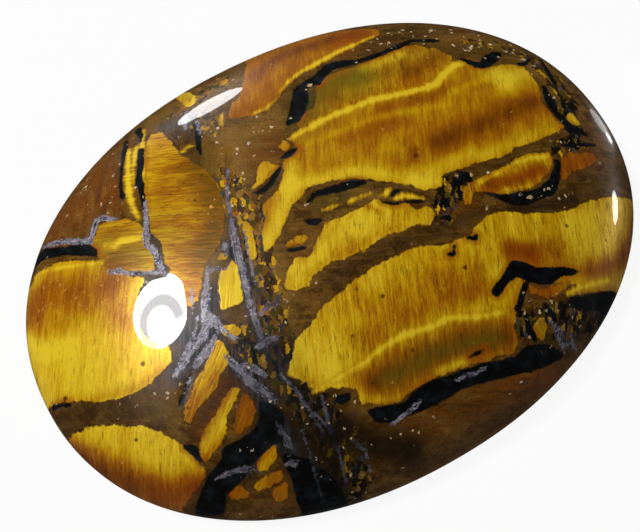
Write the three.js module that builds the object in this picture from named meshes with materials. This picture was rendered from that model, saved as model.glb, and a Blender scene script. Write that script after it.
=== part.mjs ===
// An oval cabochon of tiger's eye: one solid stone with a flat back, a short upright girdle and a low polished dome.
// Millimetres. +X runs along the stone's length and +Z up through the dome; the origin is the middle of the flat back.
import * as THREE from "three";

// Driving dimensions of the cut stone.
const LENGTH = 40;
const WIDTH = 29.5;
const THICKNESS = 7;
const GIRDLE_HEIGHT = 1.2; // the top of the upright wall, where the dome springs
const BACK_BEVEL = 0.4; // the small chamfer between the flat back and the wall

// Shape of the curves. A power of 2 is a true ellipse, and a higher one is fuller at the shoulders.
const OUTLINE_POWER = 2.13;
const DOME_POWER = 2.3;

// How finely the curves are faceted.
const SEGMENTS = 96;
const DOME_RINGS = 24;

// The outline's distance from the middle, as a share of the half length and half width, in the direction of an angle.
function outlineReach(angle) {
  const along = Math.abs(Math.cos(angle)) ** OUTLINE_POWER;
  const across = Math.abs(Math.sin(angle)) ** OUTLINE_POWER;
  return (along + across) ** (-1 / OUTLINE_POWER);
}

// The dome's height above the back, where share is 0 at the middle and 1 at the outline.
function domeHeight(share) {
  const rise = THICKNESS - GIRDLE_HEIGHT;
  return GIRDLE_HEIGHT + rise * Math.sqrt(1 - share ** DOME_POWER);
}

// The stone's section from the middle of the back to the top, as (share of the outline, height) pairs.
function sectionPoints() {
  const bevelShare = 1 - BACK_BEVEL / (WIDTH / 2);
  const points = [
    new THREE.Vector2(0, 0),
    new THREE.Vector2(bevelShare, 0),
    new THREE.Vector2(1, BACK_BEVEL),
    new THREE.Vector2(1, GIRDLE_HEIGHT),
  ];
  for (let ring = 1; ring <= DOME_RINGS; ring += 1) {
    const turn = (Math.PI / 2) * (ring / DOME_RINGS);
    const share = ring === DOME_RINGS ? 0 : Math.cos(turn);
    points.push(new THREE.Vector2(share, domeHeight(share)));
  }
  return points;
}

// The section is spun into a round stone of radius 1, and each ring is then stretched to the oval outline.
function cabochonGeometry() {
  const geometry = new THREE.LatheGeometry(sectionPoints(), SEGMENTS);
  geometry.rotateX(Math.PI / 2);
  const place = geometry.attributes.position;
  for (let i = 0; i < place.count; i += 1) {
    const reach = outlineReach(Math.atan2(place.getY(i), place.getX(i)));
    place.setX(i, place.getX(i) * reach * (LENGTH / 2));
    place.setY(i, place.getY(i) * reach * (WIDTH / 2));
  }
  geometry.computeVertexNormals();
  return geometry;
}

// Polished tiger's eye: golden brown quartz with a glassy surface.
const polishedTigersEye = new THREE.MeshStandardMaterial({
  color: 0xa8700f,
  roughness: 0.12,
  metalness: 0,
});

const cabochon = new THREE.Mesh(cabochonGeometry(), polishedTigersEye);
cabochon.name = "tigers_eye_cabochon";

const stone = new THREE.Group();
stone.add(cabochon);

export default stone;
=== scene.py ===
"""A polished oval cabochon of banded tiger's eye, laid out as a Blender add-on and run as a script.

The frame gives the stone's size. The dome, wall and back are modelled over it as one closed mesh. Its points
carry the distances to the golden seams, black ironstone and grey hematite veins that the material draws.
"""
import math
from collections import namedtuple

import bpy
import numpy as np
from mathutils import Matrix, Vector


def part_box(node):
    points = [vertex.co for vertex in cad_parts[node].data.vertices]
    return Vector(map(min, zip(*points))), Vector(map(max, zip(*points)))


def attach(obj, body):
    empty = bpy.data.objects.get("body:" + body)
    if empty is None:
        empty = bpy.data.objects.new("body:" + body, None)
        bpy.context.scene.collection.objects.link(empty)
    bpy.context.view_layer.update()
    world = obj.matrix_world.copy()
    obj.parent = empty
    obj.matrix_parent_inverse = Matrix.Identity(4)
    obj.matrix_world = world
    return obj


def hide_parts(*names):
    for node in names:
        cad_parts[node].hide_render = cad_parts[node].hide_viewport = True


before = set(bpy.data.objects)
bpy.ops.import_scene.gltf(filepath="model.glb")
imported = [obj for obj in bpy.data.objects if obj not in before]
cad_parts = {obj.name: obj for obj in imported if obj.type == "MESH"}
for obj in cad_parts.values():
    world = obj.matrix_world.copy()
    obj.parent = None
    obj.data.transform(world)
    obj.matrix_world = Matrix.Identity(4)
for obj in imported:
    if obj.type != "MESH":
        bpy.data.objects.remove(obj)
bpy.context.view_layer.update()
NODE = "tigers_eye_cabochon"
LOW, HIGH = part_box(NODE)

bl_info = {
    "name": "Tiger's eye cabochon",
    "version": (1, 0, 0),
    "blender": (4, 5, 0),
    "location": "3D View > Sidebar > Cabochon",
    "description": "Cuts and polishes an oval cabochon of banded tiger's eye and sets it on a pale table",
    "category": "Object",
}

MM = 0.001  # one millimetre in Blender's metres

# How the stone was cut. A power of 2 is a true ellipse, and a higher one is fuller at the shoulders.
OUTLINE_POWER = 2.13
DOME_POWER = 2.3
# Grid cells along and across the stone. The dome needs a point about every eighth of a millimetre.
DOME_CELLS = (330, 240)
BACK_CELLS = (110, 80)
WALL_ROWS = 4
# How far the bands slide sideways for each millimetre that they go down into the stone.
BAND_DIP = (0.35, -0.6)
CORNER_CUT = 0.16  # how far along its sides a closed outline's corners are cut
CHIP_TURN = 2.4  # the turn from one pale chip to the next, in radians
CHIP_SLIMNESS = 1.6  # how many times as long as wide a pale chip is
PROFILE_STEPS = 400  # steps along the dome's curve, for spacing its points evenly
BRUSH_CUTOFF = 3  # a brush counts up to this many of its reaches
FLECK_BASE = 0.06  # the few specks that lie everywhere
GROUND_BLEND = 0.1  # how wide in mm the change from polished to ground is
FARTHEST = 3.0  # distances to a marking are kept up to this many millimetres
# How far the polish dips into a marking, and over how wide a slope, both in millimetres.
HOLLOWS = {"black": (0.03, 0.25), "pit": (0.014, 0.2), "vein": (0.003, 0.5)}
LOWEST_HOLLOW = 1.3  # the polish dips only above this height in mm, so the wall stays straight
CRISP_EDGE = math.radians(35)  # faces that meet at more than this keep a crisp edge


# ---------------------------------------------------------------------------------------------------------
# The markings, in millimetres from the middle of the stone, x along its length and y across its width.
# A seam is a closed outline of golden fibre: fibres is their angle from +x in degrees, tone runs from 0, deep
# brown amber, to 1, bright gold, and streaks is how strongly the fibres show. Tone and streaks are partly the
# fibres' own colour and partly their silky sheen, painted in.
# Outlines that reach the rim go past it, for the wall and the back.
# ---------------------------------------------------------------------------------------------------------
Seam = namedtuple("Seam", "fibres tone streaks outline")

SEAMS = {
    "upper amber seam": Seam(62, 0.5, 0.5, [
        (-0.9, 8.8), (0.0, 8.7), (1.0, 9.1), (2.0, 9.8), (3.0, 10.15), (5.0, 10.35), (7.0, 10.5), (9.2, 10.7),
        (9.8, 11.3), (9.0, 12.2), (6.5, 13.6), (4.0, 15.0), (1.5, 15.2), (0.8, 13.2), (0.2, 12.2),
        (-0.6, 11.0), (-1.8, 10.3), (-2.3, 9.5)]),
    "olive seam": Seam(62, 0.58, 0.9, [
        (0.9, 6.5), (1.3, 7.1), (2.6, 7.3), (3.2, 8.3), (3.6, 8.9), (5.0, 9.1), (6.0, 8.95), (8.0, 8.8),
        (9.0, 8.85), (10.0, 8.95), (10.8, 8.8), (11.3, 8.2), (12.0, 7.4), (12.4, 6.6), (11.0, 5.9),
        (9.5, 5.4), (7.0, 5.8), (4.0, 6.2), (2.0, 6.2)]),
    "main seam": Seam(61, 0.6, 0.5, [
        (0.3, 6.2), (1.0, 6.35), (3.0, 6.45), (4.5, 6.35), (6.0, 6.2), (7.0, 5.95), (8.0, 5.75), (9.0, 5.55),
        (9.8, 5.5), (10.5, 5.7), (11.2, 6.1), (12.0, 6.35), (12.7, 6.2), (13.0, 5.7), (13.4, 5.1),
        (13.9, 4.95), (14.6, 4.95), (15.5, 4.7), (16.2, 4.3), (16.2, 3.4), (16.3, 2.6), (15.9, 1.9),
        (15.6, 1.3), (15.7, 0.4), (15.6, -0.2), (15.9, -0.9), (15.0, -1.0), (13.0, -1.1), (12.1, -0.9),
        (11.0, -1.15), (10.0, -1.0), (9.0, -0.75), (8.0, -0.75), (7.0, -0.55), (6.6, -1.1), (6.0, -1.15),
        (5.5, -1.0), (4.9, -0.3), (4.0, 0.4), (3.0, 1.2), (2.2, 1.9), (1.2, 2.2), (0.0, 2.45),
        (-0.5, 2.6), (-1.2, 2.2), (-2.0, 1.9), (-2.7, 1.3), (-3.2, 0.75), (-4.0, 0.3), (-4.8, 0.2),
        (-4.4, 0.8), (-4.2, 1.5), (-3.6, 2.0), (-3.5, 2.5), (-3.4, 2.9), (-2.3, 3.2), (-1.6, 3.8),
        (-1.1, 4.4), (-1.0, 4.9), (-0.2, 4.85), (0.3, 5.2), (0.2, 5.7)]),
    "main seam's upper lobe": Seam(61, 0.8, 0.6, [
        (-3.4, 4.1), (-2.8, 4.6), (-2.3, 5.3), (-1.8, 5.5), (-1.5, 5.0), (-1.2, 4.6), (-2.0, 4.4),
        (-2.6, 4.15)]),
    "main seam's stray lens": Seam(61, 0.75, 0.4, [
        (-0.7, 5.9), (-0.2, 6.15), (0.1, 5.9), (-0.1, 5.45), (-0.6, 5.5)]),
    "second seam": Seam(61, 0.78, 0.8, [
        (-4.6, -2.1), (-4.0, -1.4), (-3.2, -1.0), (-2.6, -1.3), (-2.2, -1.1), (-1.3, -0.4), (-0.8, 0.0),
        (-0.2, 0.05), (1.0, -0.1), (2.0, -0.15), (2.6, -0.05), (3.0, -0.6), (3.6, -0.9), (4.2, -1.1),
        (4.4, -1.7), (4.8, -1.8), (5.2, -1.9), (5.3, -2.5), (4.9, -2.85), (4.5, -2.95), (3.9, -2.5),
        (3.2, -2.6), (2.6, -2.45), (2.2, -2.3), (1.3, -2.35), (0.2, -2.5), (-0.8, -2.4), (-1.5, -2.2),
        (-2.3, -2.35), (-3.0, -2.5), (-3.4, -2.8), (-4.2, -2.7), (-4.6, -2.4)]),
    "second seam's left chip": Seam(61, 0.6, 0.6, [
        (-3.6, 0.0), (-3.0, 0.2), (-2.2, 0.1), (-2.0, -0.2), (-2.3, -0.45), (-3.0, -0.3)]),
    "third seam": Seam(66, 0.78, 0.85, [
        (-6.8, -6.5), (-6.2, -6.0), (-5.9, -5.4), (-5.0, -4.95), (-4.2, -4.7), (-3.2, -4.2), (-2.2, -4.1),
        (-1.2, -3.85), (0.0, -3.65), (1.0, -3.55), (2.0, -3.7), (3.2, -3.75), (4.0, -4.1), (4.8, -4.4),
        (5.5, -4.5), (6.2, -4.6), (6.5, -4.6), (6.9, -4.3), (7.8, -4.05), (8.7, -4.0), (9.3, -4.3),
        (10.0, -4.9), (11.0, -5.2), (12.0, -5.6), (13.0, -5.8), (14.0, -5.75), (15.0, -5.8), (16.5, -6.0),
        (18.5, -6.6), (20.5, -8.5), (18.0, -11.5), (14.5, -12.0), (13.6, -11.0), (12.5, -10.7), (11.5, -10.5),
        (10.4, -10.1), (11.0, -9.8), (10.5, -9.5), (9.5, -9.2), (8.5, -8.8), (7.9, -8.3), (7.6, -8.7),
        (7.0, -9.4), (6.4, -9.7), (6.0, -10.4), (5.8, -11.2), (5.3, -11.6), (4.5, -11.3), (3.8, -11.3),
        (3.0, -11.05), (2.0, -10.9), (1.0, -10.8), (0.0, -10.6), (-1.0, -10.65), (-2.0, -10.9),
        (-2.6, -10.7), (-3.3, -10.3), (-4.0, -9.9), (-3.9, -9.3), (-4.2, -8.9), (-5.0, -8.45),
        (-5.8, -8.3), (-6.1, -7.9), (-6.3, -7.2), (-6.9, -6.8)]),
    "wedge under the crack": Seam(75, 0.5, 0.8, [
        (8.1, -8.6), (8.5, -9.1), (9.4, -9.35), (10.2, -9.2), (11.0, -9.4), (10.0, -9.75), (9.2, -9.9),
        (8.3, -9.5), (7.8, -9.1)]),
    "lens seam, right": Seam(75, 0.66, 0.9, [
        (8.0, -2.15), (8.3, -1.8), (9.0, -1.8), (10.0, -1.75), (11.0, -1.65), (12.0, -1.6), (12.9, -1.7),
        (13.4, -1.95), (13.9, -2.0), (13.7, -2.5), (13.4, -2.9), (12.8, -3.3), (12.0, -3.6), (11.3, -3.65),
        (10.5, -3.4), (9.6, -3.2), (9.0, -2.9), (8.7, -2.6), (8.3, -2.5)]),
    "orange block": Seam(75, 0.42, 0.8, [
        (14.2, -2.7), (15.0, -2.6), (16.0, -2.8), (16.8, -3.0), (16.5, -3.7), (15.5, -3.8), (14.6, -3.7),
        (13.6, -4.0), (14.0, -3.3)]),
    "splinter by the lens": Seam(62, 0.62, 0.8, [
        (7.1, -2.8), (7.6, -1.75), (8.2, -1.75), (7.9, -2.3), (7.4, -3.0)]),
    "left seam": Seam(58, 0.9, 0.6, [
        (-17.6, 6.8), (-17.0, 7.2), (-16.0, 6.95), (-15.5, 6.8), (-14.8, 6.3), (-14.2, 5.9), (-13.6, 5.4),
        (-13.1, 4.9), (-12.9, 4.4), (-12.6, 3.8), (-11.9, 3.1), (-11.3, 2.5), (-11.9, 2.0), (-12.6, 1.2),
        (-12.9, 0.2), (-12.8, -0.8), (-12.3, -1.4), (-11.9, -1.9), (-12.2, -2.7), (-13.0, -2.95),
        (-14.0, -3.1),
        (-15.0, -3.05), (-15.9, -2.8), (-16.7, -2.4), (-17.5, -1.9), (-18.5, -1.2), (-19.3, -0.7),
        (-22.5, 0.6), (-23.0, 3.5), (-20.5, 7.2)]),
    "left lens": Seam(58, 0.92, 0.7, [
        (-21.5, -2.4), (-18.9, -2.9), (-18.0, -3.2), (-17.0, -3.8), (-16.2, -4.3), (-15.2, -4.9),
        (-14.6, -5.6),
        (-14.2, -6.3), (-13.9, -7.0), (-13.6, -7.7), (-13.5, -8.3), (-13.4, -8.8), (-13.9, -9.2),
        (-15.5, -9.7), (-17.6, -9.0), (-19.5, -7.2), (-21.5, -5.0)]),
    "upper blade": Seam(40, 0.82, 0.8, [
        (-9.3, -2.9), (-9.1, -3.8), (-9.3, -4.3), (-10.2, -4.9), (-11.0, -5.4), (-12.0, -5.7), (-12.9, -6.15),
        (-13.1, -5.8), (-12.6, -5.2), (-12.0, -4.7), (-11.0, -4.1), (-10.2, -3.6), (-9.7, -3.1)]),
    "lower blade": Seam(40, 0.84, 0.8, [
        (-9.9, -5.7), (-9.5, -6.0), (-10.2, -6.5), (-10.9, -6.9), (-11.2, -7.6), (-11.9, -8.0), (-12.6, -8.2),
        (-13.2, -8.4), (-13.3, -7.9), (-12.9, -7.3), (-12.2, -6.8), (-11.2, -6.4), (-10.5, -5.9)]),
    "brown blade": Seam(40, 0.35, 0.6, [
        (-9.4, -6.2), (-9.3, -7.2), (-9.9, -8.0), (-10.9, -8.1), (-10.9, -7.6), (-10.2, -6.8)]),
    "lower chips": Seam(40, 0.6, 0.6, [
        (-10.6, -9.8), (-9.3, -9.5), (-9.5, -10.1), (-10.2, -10.5), (-10.8, -10.3)]),
    "lower chip, left": Seam(40, 0.45, 0.6, [
        (-12.9, -10.3), (-12.0, -10.3), (-11.7, -11.0), (-12.3, -11.1), (-12.8, -10.7)]),
    "lower chip, middle": Seam(40, 0.55, 0.6, [
        (-11.5, -10.8), (-10.7, -10.6), (-9.6, -10.8), (-9.7, -11.2), (-10.6, -11.25), (-11.4, -11.1)]),
    "lower chip, rim": Seam(40, 0.5, 0.6, [
        (-10.8, -11.7), (-10.1, -11.4), (-9.6, -11.5), (-10.0, -12.2), (-10.6, -12.1)]),
    "ruled panel": Seam(-29, 0.62, 0.9, [
        (-9.8, 5.0), (-9.3, 6.5), (-8.8, 8.0), (-8.2, 9.3), (-7.7, 10.3), (-7.3, 11.0), (-6.9, 11.5),
        (-6.2, 11.3), (-6.0, 10.0), (-5.9, 8.5), (-5.3, 7.4), (-5.0, 6.2), (-5.1, 5.2), (-5.4, 4.0),
        (-5.9, 2.8), (-6.7, 2.0), (-7.4, 1.6), (-8.1, 1.2), (-9.2, -0.4), (-10.0, -0.6), (-9.9, 0.8),
        (-9.9, 2.4),
        (-9.6, 4.0)]),
    "gold parallelogram": Seam(60, 0.93, 0.3, [
        (-8.6, -1.7), (-8.0, -0.5), (-7.5, 0.5), (-7.0, 0.5), (-6.5, 0.9), (-6.2, 0.4), (-6.6, -0.6),
        (-7.1, -1.8), (-7.9, -1.7)]),
    "olive chip, right": Seam(75, 0.62, 0.5, [
        (7.5, -10.4), (7.9, -10.6), (8.0, -11.2), (7.3, -11.7), (7.0, -11.3), (7.1, -10.8)]),
    "gold chip above it": Seam(60, 0.85, 0.3, [(-7.2, 1.25), (-6.8, 1.5), (-6.5, 1.1), (-6.9, 0.9)]),
    "sliver by the grey vein": Seam(62, 0.78, 0.4, [
        (-5.6, 0.0), (-5.3, 1.2), (-5.0, 2.2), (-4.6, 2.6), (-4.5, 2.0), (-4.8, 1.0), (-5.2, 0.2)]),
    "chips under the vein": Seam(40, 0.7, 0.6, [
        (-8.8, -2.4), (-8.2, -2.6), (-7.9, -3.2), (-8.5, -3.3), (-9.0, -2.9)]),
    "far rim chip": Seam(62, 0.85, 0.6, [
        (-4.0, 12.0), (-3.3, 12.0), (-3.0, 12.9), (-3.4, 14.2), (-4.1, 14.2)]),
    "far rim chip, small": Seam(62, 0.7, 0.6, [(-1.5, 12.3), (-0.9, 12.3), (-0.7, 12.9), (-1.3, 13.0)]),
    "pale chip, right rim": Seam(62, 0.85, 0.6, [
        (16.3, -0.4), (16.8, 0.0), (17.3, -0.1), (17.1, -1.1), (16.8, -1.0)]),
    "olive window": Seam(-29, 0.68, 0.9, [
        (-13.4, 6.2), (-12.9, 6.8), (-12.2, 7.2), (-11.4, 7.1), (-10.6, 6.6), (-10.0, 5.6), (-10.1, 4.4),
        (-10.3, 3.2), (-10.6, 2.6), (-11.3, 2.9), (-12.0, 3.5), (-12.8, 4.0), (-13.2, 4.8), (-13.1, 5.6)]),
}

# Bright gold lines along and beside the seams, as (x, y, width) along each line.
GOLD_LINES = [
    [(0.2, 6.0, 0.2), (1.0, 6.1, 0.45), (3.0, 6.18, 0.52), (5.0, 6.02, 0.5), (6.0, 5.97, 0.5),
     (7.0, 5.7, 0.5),
     (8.0, 5.47, 0.5), (9.0, 5.27, 0.55), (10.0, 5.17, 0.55), (11.0, 5.65, 0.6), (12.0, 6.0, 0.6),
     (12.8, 5.95, 0.45)],
    [(-6.0, -8.15, 0.3), (-3.5, -8.15, 0.4), (-2.6, -8.1, 0.4), (-2.0, -7.95, 0.4), (-1.0, -7.85, 0.45),
     (0.0, -7.85, 0.5), (1.0, -8.05, 0.5), (1.8, -8.2, 0.45), (2.6, -8.15, 0.45), (3.3, -8.4, 0.4),
     (4.2, -8.85, 0.4), (5.0, -9.1, 0.35), (5.8, -9.3, 0.3)],
    [(-0.7, 8.9, 0.2), (0.0, 8.85, 0.3), (0.9, 9.1, 0.15)],
    [(1.4, 9.6, 0.1), (2.4, 10.1, 0.25), (3.4, 10.35, 0.35), (4.5, 10.45, 0.4), (6.0, 10.65, 0.4),
     (7.2, 10.7, 0.35),
     (8.9, 10.85, 0.2)],
    [(-16.6, 7.0, 0.2), (-15.8, 6.5, 0.3), (-15.0, 6.0, 0.35), (-14.2, 5.5, 0.35), (-13.5, 5.1, 0.3),
     (-13.1, 4.85, 0.2)],
    [(-12.5, 5.7, 0.3), (-12.0, 5.35, 0.5), (-11.5, 5.35, 0.5), (-10.9, 5.15, 0.45), (-10.4, 4.9, 0.3)],
    [(-10.0, 6.2, 0.3), (-9.95, 7.2, 0.4), (-9.7, 8.3, 0.5), (-9.3, 9.4, 0.5), (-8.9, 10.3, 0.4),
     (-8.5, 11.2, 0.35)],
    [(-8.0, 11.1, 0.3), (-8.4, 10.4, 0.35), (-8.9, 9.5, 0.25), (-9.2, 8.7, 0.2)],
    [(-7.1, 12.2, 0.3), (-7.6, 11.0, 0.3), (-7.95, 10.0, 0.3), (-8.35, 9.1, 0.35), (-8.7, 8.2, 0.35),
     (-9.0, 7.4, 0.25),
     (-9.2, 6.7, 0.2)],
    [(-0.4, 0.85, 0.1), (0.4, 0.7, 0.1), (1.2, 0.55, 0.14), (2.0, 0.5, 0.14), (2.6, 0.4, 0.1)],
    [(3.0, 0.0, 0.2), (3.4, 0.0, 0.3), (3.8, 0.1, 0.15)],
    [(3.6, -0.55, 0.2), (4.2, -0.65, 0.3), (4.6, -0.95, 0.3), (5.1, -1.35, 0.15)],
    [(8.7, -1.95, 0.2), (10.0, -1.95, 0.2), (11.5, -1.8, 0.25), (12.6, -1.95, 0.5), (13.5, -2.2, 0.4)],
    [(9.3, -3.0, 0.15), (10.5, -3.3, 0.22), (11.4, -3.5, 0.2)],
    [(10.0, -10.05, 0.2), (11.0, -10.0, 0.35), (12.4, -10.2, 0.35), (13.2, -10.3, 0.2)],
    [(-2.85, 9.35, 0.2), (-2.55, 9.95, 0.25)],
    [(-5.8, 8.85, 0.15), (-5.2, 8.95, 0.3), (-5.0, 8.8, 0.15)],
]

# Black ironstone: pockets and cracks as closed outlines.
BLACK_POCKETS = {
    "crack": [
        (5.7, -8.1), (6.0, -7.8), (7.0, -7.4), (7.8, -6.9), (8.5, -7.3), (9.0, -7.9), (10.0, -8.3),
        (11.0, -8.8),
        (11.8, -9.35), (11.0, -9.3), (10.3, -9.05), (9.4, -9.2), (8.6, -8.9), (8.0, -8.4), (7.7, -8.0),
        (7.1, -7.9), (6.6, -8.2), (6.0, -8.45)],
    "crack's branch": [(7.8, -8.3), (8.1, -8.6), (7.3, -9.3), (6.8, -9.8), (6.4, -9.5), (7.1, -9.0)],
    "pocket over the main seam": [
        (0.4, 7.0), (1.2, 7.9), (2.2, 9.3), (3.1, 9.15), (2.7, 8.0), (1.9, 7.2), (1.2, 6.8)],
    "shadow over the olive seam": [
        (3.1, 9.0), (3.6, 9.5), (4.6, 9.7), (5.3, 9.95), (6.2, 9.7), (6.9, 9.3), (6.6, 8.95), (6.0, 9.15),
        (5.0, 9.35), (4.2, 9.0), (3.8, 8.6)],
    "notch": [
        (12.5, 6.4), (12.8, 6.4), (13.6, 5.5), (14.2, 5.9), (15.2, 6.1), (15.7, 5.8), (14.9, 5.2),
        (14.3, 5.0),
        (13.5, 4.95), (13.1, 5.3)],
    "right rim pocket": [
        (16.3, 2.2), (16.7, 1.8), (16.5, 1.2), (16.1, 0.8), (15.7, 0.3), (15.8, 1.0), (16.0, 1.7)],
    "right rim pocket, lower": [(15.8, -0.9), (16.4, -0.9), (17.2, -1.3), (16.9, -1.8), (16.2, -1.5)],
    "lens under the lobe": [
        (-3.5, 3.95), (-3.0, 3.85), (-2.4, 4.05), (-2.0, 4.3), (-1.2, 4.65), (-1.2, 4.4), (-1.8, 3.9),
        (-2.5, 3.55),
        (-3.2, 3.6)],
    "lens under the stray": [
        (-1.0, 5.15), (-0.5, 5.25), (0.0, 5.3), (0.4, 5.2), (0.0, 5.0), (-0.5, 4.9), (-0.9, 5.0)],
    "band lens": [(-1.75, 0.85), (-1.3, 0.75), (-0.8, 0.5), (-0.65, 0.3), (-1.2, 0.15), (-1.6, 0.4)],
    "chip lens": [(-3.5, -0.25), (-3.0, -0.35), (-2.4, -0.6), (-2.1, -0.85), (-2.6, -0.8), (-3.2, -0.6)],
    "right lens shadow": [
        (8.4, -2.45), (9.0, -2.85), (9.6, -3.25), (10.5, -3.5), (11.4, -3.75), (12.2, -3.7), (13.0, -3.4),
        (13.7, -2.9),
        (13.9, -2.5), (14.2, -2.9), (13.6, -3.5), (13.0, -4.3), (12.4, -4.6), (11.2, -4.5), (10.2, -4.4),
        (9.4, -3.9)],
    "splinter shadow": [
        (7.2, -1.5), (7.8, -0.95), (8.2, -0.9), (8.5, -1.3), (8.3, -1.8), (7.9, -1.5), (7.5, -1.7)],
    "lower band": [
        (-3.9, -10.4), (-3.2, -10.6), (-2.5, -10.8), (-1.8, -10.95), (-1.0, -10.75), (0.0, -10.7),
        (1.0, -10.85),
        (2.0, -11.0), (3.0, -11.15), (4.0, -11.4), (5.3, -11.7), (6.0, -11.5), (7.5, -11.9), (8.5, -12.9),
        (7.0, -13.0),
        (5.2, -12.7), (4.0, -12.4), (2.8, -12.15), (1.5, -11.95), (0.0, -12.0), (-1.6, -11.85), (-3.0, -11.6),
        (-3.8, -11.2)],
    "lower right band": [
        (9.6, -10.3), (10.6, -10.4), (11.6, -10.6), (12.6, -10.75), (13.6, -10.9), (15.5, -12.3),
        (13.0, -13.4),
        (11.8, -11.6), (10.8, -11.3), (10.0, -10.9)],
    "lower left pocket": [
        (-15.2, -10.2), (-14.0, -9.4), (-13.2, -9.0), (-12.3, -8.7), (-12.0, -8.2), (-11.0, -8.3),
        (-10.0, -8.3),
        (-9.3, -7.9), (-9.0, -7.0), (-8.3, -7.6), (-8.1, -8.5), (-8.8, -9.6), (-9.4, -9.4), (-10.6, -9.7),
        (-11.6, -10.2), (-13.0, -10.4), (-13.6, -11.2)],
    "rim of the lower left": [
        (-9.4, -10.3), (-8.9, -10.2), (-8.0, -11.2), (-7.2, -12.4), (-7.0, -14.8), (-10.0, -14.6),
        (-9.6, -12.4),
        (-9.3, -11.3)],
    "zigzag shadow": [
        (-17.2, 8.6), (-15.8, 8.5), (-15.2, 7.9), (-14.6, 7.4), (-13.8, 6.9), (-13.2, 6.4), (-13.0, 5.8),
        (-13.2, 5.4),
        (-13.8, 5.9), (-14.6, 6.6), (-15.4, 7.1), (-16.2, 7.7), (-17.6, 7.9)],
    "dark wedge, left": [(-13.9, -7.0), (-13.4, -7.1), (-13.1, -7.5), (-13.3, -8.4), (-13.5, -8.0)],
    "dark blade gap": [
        (-12.9, -4.7), (-12.2, -4.2), (-11.5, -3.8), (-11.9, -4.4), (-12.7, -5.1), (-13.1, -5.1)],
    "pocket, lower matrix": [(-5.4, -9.0), (-4.9, -8.95), (-4.2, -9.1), (-4.4, -9.5), (-5.0, -9.45)],
}

# Thin black streaks, as (x, y, width) along each.
BLACK_STREAKS = [
    [(2.5, 9.25, 0.2), (3.2, 9.35, 0.2), (4.0, 9.5, 0.3), (5.0, 9.9, 0.3), (5.8, 9.75, 0.35),
     (6.5, 9.25, 0.35),
     (7.2, 9.1, 0.3), (8.0, 9.05, 0.35), (9.0, 9.1, 0.4), (10.0, 9.1, 0.4), (10.8, 9.2, 0.4),
     (11.4, 8.9, 0.4),
     (12.0, 8.6, 0.35), (12.4, 8.4, 0.25)],
    [(-1.0, 1.65, 0.2), (-0.4, 1.95, 0.4), (0.3, 1.8, 0.5), (1.0, 1.6, 0.55), (2.0, 1.4, 0.5),
     (2.6, 1.2, 0.2)],
    [(2.9, -0.4, 0.2), (3.4, -0.8, 0.3), (3.8, -0.95, 0.2)],
    [(3.6, -0.3, 0.25), (3.9, -0.15, 0.4), (4.3, -0.25, 0.15)],
    [(4.0, -1.0, 0.15), (4.6, -1.3, 0.3), (5.1, -1.5, 0.15)],
    [(-7.85, 10.6, 0.4), (-8.3, 9.6, 0.5), (-8.7, 8.9, 0.5), (-8.95, 8.4, 0.4)],
    [(-8.9, 8.2, 0.35), (-9.2, 7.2, 0.35), (-9.5, 6.4, 0.25)],
    [(-8.3, 12.2, 0.3), (-8.9, 11.1, 0.3), (-9.5, 10.0, 0.25), (-10.0, 8.9, 0.3), (-10.2, 8.1, 0.25)],
    [(-7.3, 12.6, 0.5), (-7.4, 11.8, 0.35), (-7.6, 11.4, 0.2)],
    [(-4.1, 10.3, 0.35), (-4.5, 9.2, 0.4), (-4.8, 8.4, 0.3), (-4.9, 8.0, 0.15)],
    [(15.0, -1.9, 0.3), (15.6, -2.15, 0.35), (16.4, -2.35, 0.35), (17.2, -2.6, 0.2)],
    [(16.1, 4.5, 0.3), (16.6, 4.45, 0.35), (17.1, 4.7, 0.2)],
    [(5.4, -2.9, 0.3), (5.8, -3.05, 0.4), (6.0, -3.1, 0.2)],
    [(6.1, -2.3, 0.2), (6.4, -2.1, 0.3)],
    [(6.2, -4.65, 0.2), (6.5, -4.85, 0.35), (6.7, -4.75, 0.2)],
    [(4.6, -5.0, 0.2), (4.9, -5.15, 0.25), (5.2, -4.7, 0.15)],
    [(-19.5, -0.8, 0.3), (-18.9, -1.1, 0.25), (-18.5, -1.4, 0.15)],
    [(2.7, -10.6, 0.15), (3.3, -10.6, 0.25), (3.8, -10.65, 0.15)],
    [(18.1, 4.6, 0.25), (17.7, 3.3, 0.4), (17.5, 2.3, 0.3)],
    [(16.5, 2.2, 0.4), (16.3, 1.2, 0.5), (16.0, 0.3, 0.45), (16.3, -0.9, 0.5), (17.0, -1.7, 0.4)],
    [(7.0, -10.0, 0.25), (6.8, -10.7, 0.35), (6.9, -11.4, 0.3)],
    [(8.4, -10.0, 0.3), (8.6, -10.8, 0.35), (8.4, -11.6, 0.3)],
]
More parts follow.
